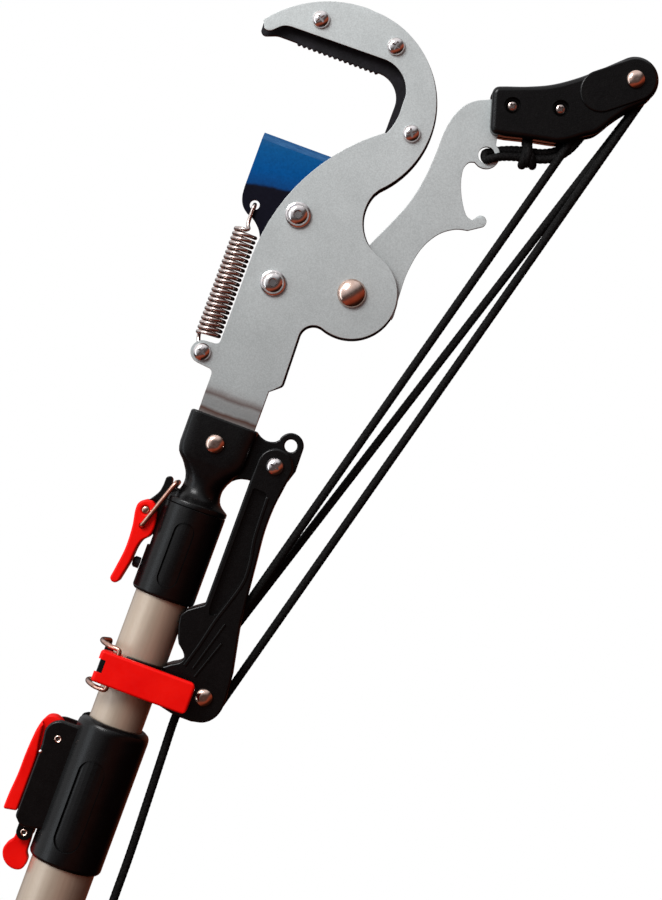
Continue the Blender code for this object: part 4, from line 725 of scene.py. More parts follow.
def make_blade():
    root, tip = PIVOT[0] - PITCH_RADIUS - ROOT_DEPTH, PIVOT[0] - PITCH_RADIUS + TIP_HEIGHT
    outline = [(11, 125.6), (-29.6, 125.6)]
    outline += flow([(-29.5, 99), (-29, 94.6), (-27.4, 90.8), (-24.6, 88.3), (-21.2, 86.8), (-18.4, 84.6),
                     (-16.2, 82), (-14.2, 78)])
    outline += [(-13, 73)] + bend((-13, 40), (-13, 8.8), (0, 8.8), 3)
    outline += bend((0, 8.8), (root, 8.8), (root, 40), 2)
    outline += list(reversed(rack_teeth(root, tip))) + [(root, 80), (11, 83)]
    slot = obround(GUIDE_X, 17.4 - SLEEVE_HOLE, 95.3 + SLEEVE_HOLE, SLEEVE_HOLE)
    blade = slab([outline, slot, circle(SPRING_EYE, SCREW_HOLE)], -BLADE_HALF, BLADE_HALF, 0.12, turns=1)
    wedge = slab([[(-40, 0), (30, 0), (30, 8.1), (-40, 8.1)]], -5, 0)
    grind = Matrix.Rotation(-math.atan2(2.5, 3.4), 4, "X")
    wedge.data.transform(Matrix.Translation((0, -BLADE_HALF, 122.2)) @ grind)
    obj = piece("blade_blue", cut(blade, wedge), ("blue_blade", "ground_edge"), "blade", GROUND, "blade")
    for face in obj.data.polygons:
        if face.center.z > (HEAD + 122) * MM and -0.95 < face.normal.y < -0.2:
            face.material_index = 1


def gear_run():
    """Involute teeth of the lever's sector, round its pivot."""
    base = PITCH_RADIUS * math.cos(PRESSURE_ANGLE)
    root, tip = PITCH_RADIUS - ROOT_DEPTH, PITCH_RADIUS + TIP_HEIGHT

    def spread(radius):
        lean = math.acos(base / radius)
        return math.tan(lean) - lean
    at_base = (PITCH / 2 - GEAR_PLAY) / PITCH_RADIUS / 2 + spread(PITCH_RADIUS)
    flank = [(root, at_base)] + [(r, at_base - spread(r)) for r in (base + 0.01, 18.4, 19.3, tip)]
    run = []
    for k in range(-1, 11):
        middle = math.pi + 2 * math.pi / GEAR_TEETH * (k + 0.5)
        polar = [(r, middle - a) for r, a in flank] + [(r, middle + a) for r, a in reversed(flank)]
        run += [(PIVOT[0] + r * math.cos(a), PIVOT[1] + r * math.sin(a)) for r, a in polar]
    return run


def lever_outline():
    outline = [(49.6, 65.4)] + flow([(54.5, 65.2), (54.7, 68), (53.9, 77), (53.7, 88), (55.8, 100),
                                     (60.6, 108.8), (67, 113.8), (73, 115.5)])
    outline += arc((76.9, 121.3), 2.7, -45, 160)
    outline += flow([(73, 120.4), (69.5, 122), (65.4, 128), (62.4, 135), (61.3, 141), (62.6, 144.6),
                     (65, 145.7)])
    outline += arc(RING, 6.2, -110, 66)
    outline += [(70.8, 159.5), (73, 165.5), (91, 172.6), (98.5, 177.5), (99, 184.5), (93, 188)]
    outline += [(66.5, 177.8)]
    outline += flow([(61, 174.6), (56, 172.2), (51.8, 168.3), (48.8, 162), (47.3, 154), (47.1, 143),
                     (46.2, 131), (43.8, 119), (39.6, 108), (35.6, 99.2), (33, 93.5)])
    return outline + [(30.6, 89.5)] + arc(PIVOT, 15.9, 108, 158) + gear_run()


def make_lever():
    holes = [circle(PIVOT, BUSH_HOLE), circle(RING, 3.8)]
    holes += [circle(place, ARM_SCREW_HOLE) for place in ARM_SCREWS.values()]
    lever = slab([lever_outline(), *holes], -BLADE_HALF, BLADE_HALF, 0.3, turns=1)
    # Painted shade on the lever's side walls and bevels.
    looks = ("silver_plate", "plate_side_shade", "plate_side_shade")
    paint_sides(piece("lever_silver", lever, looks, "lever_plate", body="lever"))


def make_fasteners():
    seat = PLATE_OUT + HEAD_GAP
    places = [("screw_" + name, "hook_screw_" + name, place) for name, place in HOOK_SCREWS.items()]
    places.append(("screw_spring", "spring_screw", SPRING_POST))
    for turn, (name, node, place) in zip((35, 10, 60, 25), places):
        screw = pan_screw(place, *PAN_HEAD, seat, PLATE_OUT + 0.6, turn)
        piece(name, screw, ("nickel", "recess"), node)
    for name, z in GUIDES.items():
        bolt = button_bolt((GUIDE_X, z), seat, seat + 3.2)
        piece("bolt_" + name, bolt, ("nickel", "recess"), "guide_bolt_" + name)
    for name, node, sizes in (("pivot", "pivot_rivet", (PIVOT, 6.6, 3.6, 4, seat, 6, 0)),
                              ("socket", "socket_rivet", (SOCKET_RIVET, 4.4, 2.6, 2.5, 10.8, 4.2, 0.12)),
                              ("lower", "bracket_axle", (LOWER_AXLE, 4.1, 2.4, 2.5, BRACKET_OUT, 4, 0.1))):
        piece("rivet_" + name, rivet(*sizes), "rivet", node)
    screw = pan_screw(BRACKET_SCREW, *PAN_HEAD, BRACKET_OUT, BRACKET_OUT + 0.3, 15)
    piece("screw_bracket", screw, ("nickel", "recess"), "bracket_screw")
    upper = rivet(UPPER_AXLE, 4.2, 2.4, 2.5, 9.85, 4, 0.1)
    piece("rivet_upper", upper, "rivet", "arm_axle", body="lever")
    for name, place in ARM_SCREWS.items():
        screw = pan_screw(place, 2.8, 1.8, 1.6, 5.75, 4.75, 30)
        piece("screw_arm_" + name, screw, ("spring_steel", "recess"), "arm_screw_" + name, body="lever")


def spring_route():
    """Hook round the post, 22 1/3 turns, and the leg up to the hook through the blade."""
    post_x, post_z = SPRING_POST
    eye_x, eye_z = SPRING_EYE
    axis_x = (post_x + eye_x) / 2
    route = [(x, 0, z) for x, z in arc(SPRING_POST, 3.4, 50, -185)]
    route += flow([route[-1], (post_x - 3.3, 0.1, post_z + 3.4), (axis_x - 3.7, 0.9, 27.3),
                   (axis_x - 4.33, 2.5, SPRING_LOW)], 6)[1:-1]
    turns, steps, radius = 67 / 3, 67 * 9, 5.0
    for i in range(steps + 1):
        a = math.radians(150) + 2 * math.pi * turns * i / steps
        route.append((axis_x + radius * math.cos(a), radius * math.sin(a),
                      SPRING_LOW + (SPRING_HIGH - SPRING_LOW) * i / steps))
    route += flow([route[-1], (axis_x + 0.9, -4.2, 81.4), (eye_x + 0.3, -3, 83.6), (eye_x, -2.7, 89.8),
                   (eye_x, -2.5, 91.8), (eye_x, -1.3, eye_z), (eye_x, 0, 93.1), (eye_x, 1.3, eye_z),
                   (eye_x, 2.5, 91.8), (eye_x, 2.7, 89.8), (eye_x, 2.7, 88)], 6)[1:]
    return route


def make_spring():
    wire = piece("spring_wire", bar(spring_route(), 1.8, 4), "spring_steel", "return_spring", SMOOTH, None)
    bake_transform(wire)


# Arm and sheaves

def arm_outline():
    outline = bend((62.6, 172), (67, 160), (72, 160.2), 3)
    outline += flow([(74, 160.8), (86, 163.8), (97, 166.2), (103, 169.4), (107.5, 173),
                     (112, 176), (115, 180.2), (117.2, 184), (122, 190.5), (128.6, 196.8)])
    outline += arc(UPPER_AXLE, 10.8, -40, 133)
    outline += flow([(105.4, 205.6), (96, 197.3), (86, 190.3), (76, 185.6), (66.5, 182.2)])
    return outline + bend((66.5, 182.2), (61.2, 180.2), (62, 174), 3)


def arm_pad():
    inner = (107.5, 194.6)
    tilt = math.degrees(math.atan2(UPPER_AXLE[1] - inner[1], UPPER_AXLE[0] - inner[0]))
    return arc(UPPER_AXLE, 9.6, tilt - 90, tilt + 90) + arc(inner, 9.6, tilt + 90, tilt + 270)


def make_arm():
    hollow = [(96.6, 150), (96.6, 172), (101, 177), (103.5, 196), (114, 222), (140, 222),
              (140, 150)]
    for name, side in (("front", -1), ("back", 1)):
        cheek = slab([arm_outline()], *reach_y(side, -1.2, CHEEK_OUT), 2.4, turns=6)
        low, high = reach_y(side, 1.8, -9)
        cheek = cut(cheek, box((40, low, 140), (160, high, 240)))
        cheek = join(cheek, slab([arm_pad()], *reach_y(side, CHEEK_OUT - 2, CHEEK_OUT + 0.9), 0.7, turns=3))
        tools = [slab([hollow], *reach_y(side, 0, CHEEK_IN)), hole(UPPER_AXLE, AXLE_HOLE)]
        for place in ARM_SCREWS.values():
            tools += [rod(place, 3.9, *reach_y(side, CHEEK_OUT - 3.2, 20)), hole(place, ARM_SCREW_HOLE)]
        cheek = bevelled(cut(cheek, *tools), 0.2, 1, 55)
        piece("arm_" + name, cheek, "black_plastic", "arm_cheek_" + name, body="lever")


def make_sheaves():
    groove = [math.radians(14 * i - 70) for i in range(11)]
    valley = [(WRAP - 2.35 * math.cos(a), 2.35 * math.sin(a)) for a in groove]
    profile = [(9.3, 2.5), (9.1, 2.7), (AXLE_HOLE, 2.7), (AXLE_HOLE, -2.7), (9.1, -2.7), (9.3, -2.5),
               (9.2, -2.35), *valley, (9.2, 2.35)]
    for level, (x, z) in (("upper", UPPER_AXLE), ("lower", LOWER_AXLE)):
        for name, y in (("front", -SHEAVE_Y), ("back", SHEAVE_Y)):
            body = "%s_sheave_%s" % (level, name)
            holes = [rod((x + 4.6 * math.cos(a), z + 4.6 * math.sin(a)), 0.9, y - 4, y + 4, count=16)
                     for a in (0.4, 2.5, 4.6)]
            wheel = cut(lathe(profile, (x, y, z), "-Y", 48), *holes)
            piece("wheel_%s_%s" % (level, name), wheel, "black_plastic", body, body=body)


# Socket, bracket and clamp

def loft(sections):
    """Skin through level sections (z, centre x, half x, half y, power)."""
    count = 72
    mesh = bpy.data.meshes.new("loft")
    with editing(mesh) as bm:
        rings = []
        for z, middle, half_x, half_y, power in sections:
            ring = []
            for i in range(count):
                c, s = math.cos(2 * math.pi * i / count), math.sin(2 * math.pi * i / count)
                ring.append(bm.verts.new((middle + half_x * math.copysign(abs(c) ** (2 / power), c),
                                          half_y * math.copysign(abs(s) ** (2 / power), s), z)))
            rings.append(ring)
        for upper, lower in zip(rings, rings[1:]):
            for i in range(count):
                j = (i + 1) % count
                bm.faces.new((upper[i], lower[i], lower[j], upper[j]))
        bm.faces.new(rings[0])
        bm.faces.new(list(reversed(rings[-1])))
        bmesh.ops.recalc_face_normals(bm, faces=bm.faces)
    return raw(mesh)


def make_socket():
    sections = [(-3.9, -0.7, 15, 9.4, 8), (-4.1, -0.7, 15.6, 10, 8), (-4.8, -0.7, 16.1, 10.5, 8),
                (-12, -0.7, 16.1, 10.5, 7), (-19.5, -0.7, 16.1, 10.5, 6), (-22, -0.65, 15.8, 10.45, 5.4),
                (-24, -0.6, 15.2, 10.4, 5), (-25.6, -0.45, 14.2, 10.2, 4.4), (-27, -0.3, 12.9, 10, 4),
                (-28.5, -0.15, 11.9, 9.8, 3.4), (-30, 0, 11.1, 9.7, 3), (-31.5, 0.05, 10.2, 9.4, 2.6),
                (-33, 0.1, 9.6, 9.2, 2.4), (-34.8, 0.1, 9.1, 9.05, 2.1), (-36.5, 0.1, 9, 9, 2),
                (-38.4, 0.1, 9.2, 9.2, 2), (-40, 0.1, 9.7, 9.7, 2), (-41.3, 0, 10.6, 10.6, 2),
                (-42.4, 0, 11.8, 11.8, 2), (-43.4, 0, 13.3, 13.3, 2), (-44, 0, 14.3, 14.3, 2),
                (-44.6, 0, 14.8, 14.8, 2), (-46.3, 0, 14.8, 14.8, 2), (-46.31, 0, 11, 11, 2),
                (-66.3, 0, 11, 11, 2)]
    lug = [(0, -8), (12, -5)]
    lug += flow([(15, -4.2), (17.4, -5.6), (20.4, -6.2), (23.6, -5.4), (25.4, -3.8)])
    lug += arc(EAR, 5.9, 165, 5) + [(37.3, -15), (35.6, -20.5), (32, -25), (21, -25.8)]
    lug += flow([(18, -26), (14.6, -27), (11.4, -29.4), (9, -33)]) + [(0, -33)]
    ear = slab([lug, circle(EAR, EAR_HOLE), circle(BRACKET_SCREW, SCREW_HOLE)], -3, 3, 0.7)
    hook = [(-8, -46), (-8, -40.5), (-13, -40.5)] + arc((-15.4, -38.2), 1.6, 0, 180)
    hook += flow([(-17, -41), (-17.5, -44.2), (-18.7, -46.6), (-20.4, -49.2)])
    hook += [(-15.5, -49.1), (-15.5, -46)]
    socket = join(loft(sections), ear, slab([hook], -4, 4, 0.5))
    mouth = [(-14.3, 0), (-14.3, -24), (-11, -29.4), (10.8, -29.4), (13.8, -24), (13.8, 0)]
    socket = cut(socket, slab([mouth], -2.85, 2.85), hole(SOCKET_RIVET, RIVET_HOLE, 30))
    piece("socket_black", bevelled(socket, 0.3, 2, 50), "black_plastic", "head_socket", MOULDED)


def ribbon(run, half):
    """Outline of a band of even width along a run of points."""
    edges = [[], []]
    for i, point in enumerate(run):
        after, before = run[min(i + 1, len(run) - 1)], run[max(i - 1, 0)]
        along = (Vector(after) - Vector(before)).normalized() * half
        edges[0].append((point[0] - along.y, point[1] + along.x))
        edges[1].append((point[0] + along.y, point[1] - along.x))
    return edges[0] + edges[1][::-1]


def bracket_outline():
    outline = arc(BRACKET_SCREW, 8.2, 0, 180) + [(19.4, -26)]
    outline += bend((19.5, -80), (19.7, -85.6), (15, -87.6), 1.6)
    outline += [(12.6, -90.4), (10.6, -93.8), (11.6, -98.8), (13.4, -103.9)]
    outline += flow([(14.6, -106.2), (17.8, -109), (19, -111.5), (17.6, -114), (14.4, -116)])
    outline += [(11, -118.6), (11, -134.4), (22, -136.9), (27, -137.3)]
    outline += flow([(32, -137.3), (37.6, -135.8), (41.4, -132.4), (43.3, -127.6), (43.4, -122)])
    return outline + flow([(42.4, -111.5), (40.2, -100.8), (38, -89), (36.4, -74.5), (35, -60),
                           (33.6, -46), (33.7, -34), (34.8, -25)])


def make_bracket():
    """Two-sided rope bracket and its clamp band, with pockets, a raised rim and ribs on both faces."""
    half = BRACKET_HALF
    holes = [circle(BRACKET_SCREW, SCREW_HOLE), circle(LOWER_AXLE, AXLE_HOLE)]
    bracket = slab([bracket_outline(), *holes], -half, half, 1, turns=3)
    ring = arc((0, 0), 15.8, -109, 158) + arc((0, 0), 11.3, 158, -109)
    tongue = arc((0, 0), 12.2, -95, -141) + arc(CLAMP_PIVOT, 3.2, 190, 280) + [(-4, -15.8)]
    lip = [(-13.4, 7.2), (-16.4, 6), (-17, 4.8), (-16.6, 3.6), (-14, 3.4)]
    bracket = join(bracket, slab([ring], *BAND, 0.5, True), slab([tongue], -131.2, -122, 0.4, True),
                   slab([lip], *BAND, 0.3, True))
    channel = [(21.3, -145), (21.3, -121), (24.4, -108), (33, -76), (33.6, -68), (60, -68),
               (60, -145)]
    pocket = rounded([(22, -28, 1.5), (22, -85.5, 1.5), (23, -89.5, 1.6), (25.9, -88.8, 1.8),
                      (28.4, -80.6, 3), (31.4, -69, 3), (31, -60, 4), (29.4, -50, 4),
                      (28.8, -38, 4), (28.6, -28.4, 1.5)])
    tools = [box((10, -3.3, -27.5), (50, 3.3, 0)), slab([channel], -CHEEK_IN, CHEEK_IN),
             *[slab([pocket], *reach_y(side, half - 3.4, 20)) for side in (-1, 1)],
             rod((0, 0), BORE, -150, 0, True, 96), rod((0, 0), HEAD_LOCK_RADIUS + FIT, -89.7, -20, True, 96),
             rod(CLAMP_PIVOT, PIN_HOLE, -140, -110, True)]
    bracket = bevelled(cut(bracket, *tools), 0.35, 2, 50)
    rim = flow([(29.6, -30), (29.8, -38), (30.4, -50), (32.2, -60), (32.6, -69.6), (29.6, -81),
                (26.8, -90), (23.8, -103), (20.6, -114.5)], 4)
    ribs = [slab([ribbon(rim, 0.8)], *reach_y(side, half - 1, half + 0.6), 0.4) for side in (-1, 1)]
    for (x0, z0), (x1, z1) in (((31.3, -90.6), (24.6, -114.4)), ((32.8, -99.4), (26.6, -117.6))):
        line = [(x0 - 0.5, z0), (x1 - 0.5, z1), (x1 + 0.5, z1), (x0 + 0.5, z0)]
        ribs += [slab([line], *reach_y(side, half - 1, half + 0.7), 0.25) for side in (-1, 1)]
    piece("bracket_black", group(bracket, *ribs), "black_plastic", "rope_bracket", MOULDED)


def make_clamp():
    top, bottom = -119.2, -134.0
    outline = rounded([(-16.4, -20.6, 2), (-16.4, -15.6, 1.5), (-13.4, -10.4, 2.5), (-7, -10.2, 2.5),
                       (-5.6, -16.6, 1), (28.8, -16.6, 1.5), (28.8, -20.4, 1.5), (8, -21.2, 6)])
    lever = slab([outline, circle(CLAMP_PIVOT, PIN_HOLE)], bottom, top, 1.2, True, 4)
    lever = cut(lever, box((-30, -16.9, -131.5), (-5.5, -5, -121.7)),
                box((-30, -30, -129.6), (-12.8, -5, -123.2)),
                rod(CLAMP_BAIL, BAIL_HOLE, top - 3, top + 5, True),
                rod(CLAMP_BAIL, BAIL_HOLE, bottom - 5, bottom + 3, True))
    for z, sign in ((top, 1), (bottom, -1)):
        inner, outer = z - sign * 3, z + sign * 3.0
        corner = [(x, inner + sign * y) for x, y in arc((25.8, 0), 3, 90, 0)]
        lever = cut(lever, slab([corner + [(32, inner), (32, outer), (25.8, outer)]], -30, -10))
    piece("clamp_red", bevelled(lever, 0.4, 3, 45), "red_plastic", "clamp_lever", body="clamp_lever")
    leg = flow([CLAMP_BAIL, (-13.6, -16.4), (-17.6, -9), (-18.6, 0), CLAMP_CATCH], 8)
    leg = leg[:1] + leg[8:-7] + leg[-1:]
    upper = [(*CLAMP_BAIL, top - 2.4)] + [(x, y, top + 2.3) for x, y in leg]
    lower = [(x, y, bottom - 2.3) for x, y in reversed(leg)] + [(*CLAMP_BAIL, bottom + 2.4)]
    route = soft_corners(upper + lower, (1, len(upper) - 1, len(upper), len(upper) + len(lower) - 2), 1.6)
    piece("clamp_wire", bar(route, BAIL_WIRE, 4), "bail_wire", "clamp_bail", SMOOTH, "clamp_bail")


# Locks

def recess(x, low, high, half, radius):
    """Cutter that sinks an obround by an even depth into the front of a cylinder."""
    depth = 1.1
    return cut(slab([obround(x, low, high, half)], -radius - 5, 0),
               rod((0, 0), radius - depth, low - 5, high + 5, True))


def make_head_lock():
    top, bottom, radius = -46.6, -89.4, HEAD_LOCK_RADIUS
    profile = [(radius - 0.3, top), (radius, top - 0.3), (radius, bottom + 1.6),
               (radius - 0.35, bottom + 0.7), (radius - 1.1, bottom), (BORE, bottom), (BORE, top)]
    housing = lathe(profile, steps=96)
    ear = [(-13.6, -48.9), (-17.2, -48.9), (-20.4, -49.2), (-22.2, -50.6)]
    ear += arc(TOGGLE_PIN, 3.4, 165, 280) + [(-13.6, -63)]
    housing = join(housing, slab([ear], -2.2, 2.2, 0.3))
    pockets = [box((-20, low, -69.2), (-13.7, high, -51)) for low, high in ((-9, -2.2), (2.2, 9))]
    pockets.append(box((-20, -9, -69.2), (-13.4, 9, -64)))
    housing = cut(housing, recess(-0.2, -84.3, -53.4, 4.8, radius), *pockets, hole(TOGGLE_PIN, PIN_HOLE, 10))
    piece("head_lock_black", bevelled(housing, 0.45, 2, 30), "black_plastic", "head_lock_housing", MOULDED)


def make_toggle():
    """Lever of the head lock and its bail."""
    outline = flow([(-18.8, -49.6), (-22.2, -50.2), (-24.6, -52.6), (-24.9, -56.4), (-23.6, -64),
                    (-23.2, -74), (-24.4, -84), (-25, -87.8)])
    outline += arc((-22.9, -88.2), 2.2, 190, 350)
    outline += flow([(-20.2, -86), (-18.9, -79), (-18.4, -72.4), (-17.2, -68.2), (-14.9, -65.6),
                     (-14, -62.6), (-14.2, -58.4), (-15.6, -53.4), (-17.2, -50.6)])
    lever = slab([outline, circle(TOGGLE_PIN, PIN_HOLE)], -7, 7, 1.1, turns=4)
    lever = cut(lever, box((-30, -2.6, -65.5), (-10, 2.6, -40)), rod(TOGGLE_BAIL, BAIL_HOLE, -20, -4.6),
                rod(TOGGLE_BAIL, BAIL_HOLE, 4.6, 20))
    piece("toggle_red", bevelled(lever, 0.3, 2, 50), "red_plastic", "head_lock_lever", body="head_lock_lever")
    (ax, az), (bx, bz) = TOGGLE_BAIL, TOGGLE_CATCH
    leg = 8.7
    route = [(ax, -5.2, az), (ax, -leg, az), (bx, -leg, bz), (bx, leg, bz), (ax, leg, az), (ax, 5.2, az)]
    wire = bar(soft_corners(route, (1, 2, 3, 4), 1.8), BAIL_WIRE, 4)
    piece("toggle_wire", wire, "bail_wire", "head_lock_bail", SMOOTH, "head_lock_bail")


def make_pole_lock():
    radius, bottom = POLE_LOCK_RADIUS, -68.0
    profile = [(0, 0), (radius - 3, 0), (radius - 2.4, -0.15), (radius - 0.9, -1.1), (radius - 0.35, -2),
               (radius - 0.1, -3.2), (radius, -4.4), (radius, bottom + 1.8), (radius - 0.4, bottom + 0.8),
               (radius - 1.2, bottom), (0, bottom)]
    housing = lathe(profile, steps=96)
    x, z = CAM_PIN
    case = [(-8, -5.6), (-14.6, -6)] + arc((x, z + 1.3), 7, 90, 195) + [(-27.8, z - 4.8)]
    case += bend((-27.8, -40), (-27.8, -54), (-24.6, -56.4), 1.5)
    case += bend((-27, -55), (-24, -57.2), (-8, -56.4), 2) + [(-8, -54)]
    ear = arc(CATCH_PIN, 3.7, 180, 360) + [(-17.9, -50), (-25.3, -50)]
    housing = join(housing, slab([case], -9, 9, 1.1, turns=3), slab([ear], -6.2, 6.2, 0.5))
    housing = cut(housing, box((-40, -5, -25.5), (-12, 5, 5)), box((-40, -3.4, -90), (-17.3, 3.4, -54.6)),
                  rod((0, 0), OUTER_TUBE + FIT, -100, -7.7, True, 96), rod((0, 0), BORE, -9, 20, True, 96),
                  hole(CAM_PIN, LOCK_PIN_HOLE), hole(CATCH_PIN, LOCK_PIN_HOLE),
                  recess(-1.7, -60.4, -17, 6.2, radius))
    housing = bevelled(housing, 0.5, 2, 30)
    piece("pole_lock_black", housing, "black_plastic", "pole_lock_housing", MOULDED, "outer_pole", LOCK)


def make_cam():
    """Lever of the pole lock, with its narrow cam and wide side."""
    cam = arc(CAM_PIN, 6.1, -140, 75)
    cam += flow([(-22.4, -7.6), (-24.6, -6.2), (-27.2, -5.8), (-30, -7), (-31.8, -10.4), (-32.9, -16),
                 (-33.3, -24)])
    cam += [(-28.2, -24.6)]
    side = flow([(-31, -9.6), (-32.3, -14), (-33, -19), (-33.4, -27), (-33.5, -36),
                 (-34.2, -45)])
    side += bend((-34.2, -45), (-34.4, -53), (-28.1, -51.8), 1.4)
    side += bend((-31, -52.4), (-28.1, -51.8), (-28.1, -30), 1)
    side += [(-28.1, -30), (-28.3, -25.4), (-29.5, -18), (-30.2, -12)]
    lever = join(slab([cam, circle(CAM_PIN, LOCK_PIN_HOLE)], -4.6, 4.6, 0.7, turns=3),
                 slab([side], -7, 7, 1, turns=3))
    piece("cam_red", lever, "red_plastic", "pole_lock_lever", body="pole_lock_lever", level=LOCK)


def make_catch():
    outline = arc(CATCH_PIN, 3.5, 0, 180)
    outline += flow([(-25.2, -62.4), (-25.7, -65), (-27.6, -67.8), (-28.3, -71.2), (-27, -74.6),
                     (-24.4, -77), (-21, -78), (-17.8, -77.2), (-16.3, -74.8), (-16.2, -71.4),
                     (-17.6, -68.6), (-17.8, -64)])
    catch = slab([outline, circle(CATCH_PIN, LOCK_PIN_HOLE)], -3, 3, 0.9, turns=4)
    piece("catch_red", catch, "red_plastic", "pole_lock_catch", body="pole_lock_catch", level=LOCK)


def mirrored(front):
    """Profile of a pin from that of its front end, the same at both ends."""
    return front + [(r, -h) for r, h in reversed(front)]


def make_pins():
    """Tubular rivets of the pole lock, its small stop pins and the domed pin of the toggle."""
    for node, (x, z) in (("pole_lock_pin", CAM_PIN), ("catch_pin", CATCH_PIN)):
        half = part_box(node)[1][1] / MM
        front = [(0, half - 0.9), (0.75, half - 0.9), (0.95, half - 0.2), (1.3, half), (1.6, half - 0.15),
                 (1.75, half - 0.4)]
        pin = lathe(mirrored(front), (x, 0, z), "-Y", 40)
        obj = piece("rivet_" + node, pin, ("rivet", "recess"), node, body="outer_pole", level=LOCK)
        # Painted shade in the bore of each tubular rivet.
        for face in obj.data.polygons:
            middle = face.center - Vector((x, 0, LOCK + z)) * MM
            if math.hypot(middle.x, middle.z) < 0.9 * MM:
                face.material_index = 1
    for name, side in (("back", -1), ("front", 1)):
        profile = [(r, h + 8) for r, h in dome(1, 1.4, 0.4)] + [(1, 7), (0, 7)]
        pin = lathe([(r, -side * h) for r, h in profile], (-27, 0, -22.4), "Y", 32)
        piece("stop_pin_" + name, pin, "nickel", body="outer_pole", level=LOCK)
    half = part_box("head_lock_pin")[1][1] / MM
    front = [(r, h + half - 0.7) for r, h in dome(1.75, 0.7, 0.1)]
    pin = lathe(mirrored(front), (TOGGLE_PIN[0], 0, TOGGLE_PIN[1]), "-Y", 40)
    piece("toggle_pin", pin, "bail_wire", "head_lock_pin")


# Pole

def make_grip():
    low, high, swell, inner, ribs = 36, 186, 18.3, OUTER_TUBE + FIT, 3
    pitch = (high - low - 12) / ribs
    side = [(swell - 1.4, high), (swell - 0.3, high - 0.6), (swell, high - 2)]
    for i in range(ribs):
        top = high - 6.0 - pitch * i
        side += [(swell, top), (swell - 1, top - 1), (swell - 1, top - 3), (swell, top - 4)]
    side += [(swell, low + 2), (swell - 0.3, low + 0.6), (swell - 1.4, low)]
    grip = lathe(side + [(inner, low), (inner, high)], steps=96)
    flutes = [rod((19.1 * math.cos(a), 19.1 * math.sin(a)), 1.25, low + 8, high - 12, True, 12)
              for a in (2 * math.pi * i / 30 for i in range(30))]
    piece("grip_black", cut(grip, group(*flutes)), "black_rubber", "hand_grip", TURNED, "outer_pole", POLE)
    cap = [(0, 4), (inner, 4), (inner, 34), (16.7, 34), (17.3, 33.6), (17.5, 33), (17.5, 1.2),
           (17.2, 0.4), (16.3, 0), (0, 0)]
    piece("cap_black", lathe(cap, steps=96), "black_rubber", "end_cap", TURNED, "outer_pole", POLE)


def make_pole():
    for name, body, radius in (("outer", "outer_pole", OUTER_TUBE), ("inner", "head", INNER_TUBE)):
        low, high = TUBE_ENDS[name]
        bore = radius - TUBE_WALL
        ring = [(radius - 0.2, high), (radius, high - 0.2), (radius, low), (bore, low), (bore, high)]
        tube = lathe(ring, steps=128)
        piece("tube_" + name, tube, "tube_aluminium", name + "_tube", TURNED, body, POLE)
    x, z = HANDLE
    side = [(0, 42), (7, 42), (9.4, 41.4), (10.6, 40), (11, 38)]
    for t in range(34, -35, -2):
        side.append((11.0 + 0.4 * math.cos(math.pi * t / 15) - 0.9 * math.exp(-(t / 9) ** 2), t))
    side += [(r, -h) for r, h in reversed(side[:5])]
    handle = lathe(side, (x, 0, z), "-Y", 64)
    piece("handle_black", handle, "black_plastic", "pull_handle", TURNED, "pull_handle", POLE)


# Rope

def frames_along(points):
    """Two normals at each point of a route, carried along it."""
    tangents = np.gradient(points, axis=0)
    tangents /= np.linalg.norm(tangents, axis=1)[:, None]
    normal = np.cross(tangents[0], (0.3, 1, 0.2))
    normals = []
    for t in tangents:
        normal = normal - t * (normal @ t)
        normal /= np.linalg.norm(normal)
        normals.append(normal.copy())
    normals = np.array(normals)
    return normals, np.cross(tangents, normals)


def evenly(points, step):
    """Points about a step apart on the same route, and how far along it each one is."""
    points = np.array(points, float)
    along = np.concatenate(([0], np.cumsum(np.linalg.norm(np.diff(points, axis=0), axis=1))))
    count = max(2, int(round(along[-1] / step)))
    marks = np.linspace(0, along[-1], count + 1)
    return np.stack([np.interp(marks, along, points[:, k]) for k in range(3)], axis=1), marks


def braid(points):
    """Tube whose skin has the diamond plait of a braided rope."""
    sides, lay, step = 20, 9, 0.42
    points, marks = evenly(points, step)
    normals, sideways = frames_along(points)
    angle = np.linspace(0, 2 * np.pi, sides, endpoint=False)
    turn = 2 * np.pi * marks / lay
    one = np.abs(np.sin(2 * angle[None, :] + 2 * turn[:, None]))
    two = np.abs(np.sin(2 * angle[None, :] - 2 * turn[:, None]))
    radius = ROPE / 2 * (0.87 + 0.13 * np.sqrt(np.maximum(one, two) * np.minimum(1, 0.4 + one * two)))
    ring = (np.cos(angle)[None, :, None] * normals[:, None, :]
            + np.sin(angle)[None, :, None] * sideways[:, None, :])
    verts = (points[:, None, :] + ring * radius[:, :, None]).reshape(-1, 3)
    count = len(points)
    faces = tube_faces(count, sides)
    faces += [tuple(reversed(range(sides))), tuple(range((count - 1) * sides, count * sides))]
    mesh = bpy.data.meshes.new("braid")
    mesh.from_pydata(verts.tolist(), [], faces)
    with editing(mesh) as bm:
        bmesh.ops.recalc_face_normals(bm, faces=bm.faces)
    return raw(mesh)


def tangent(side_from, side_to):
    """Ends of a strand between the axles, by the side of each sheave that it leaves, +1 right, -1 left."""
    upper, lower = Vector(UPPER_AXLE), Vector(LOWER_AXLE)
    span = upper - lower
    angle = math.atan2(span.y, span.x) + math.asin((side_from - side_to) * WRAP / span.length)
    normal = Vector((math.sin(angle), -math.cos(angle)))
    return upper + normal * side_from * WRAP, lower + normal * side_to * WRAP


def wrap(axle, start, end, y, clockwise):
    """Rope's route over a sheave, from the point start to the point end."""
    centre = Vector(axle)
    a0 = math.atan2(start.y - centre.y, start.x - centre.x)
    a1 = math.atan2(end.y - centre.y, end.x - centre.x)
    while clockwise and a1 > a0:
        a1 -= 2 * math.pi
    while not clockwise and a1 < a0:
        a1 += 2 * math.pi
    angles = [a0 + (a1 - a0) * i / 36 for i in range(37)]
    return [(centre.x + WRAP * math.cos(a), y, centre.y + WRAP * math.sin(a)) for a in angles]


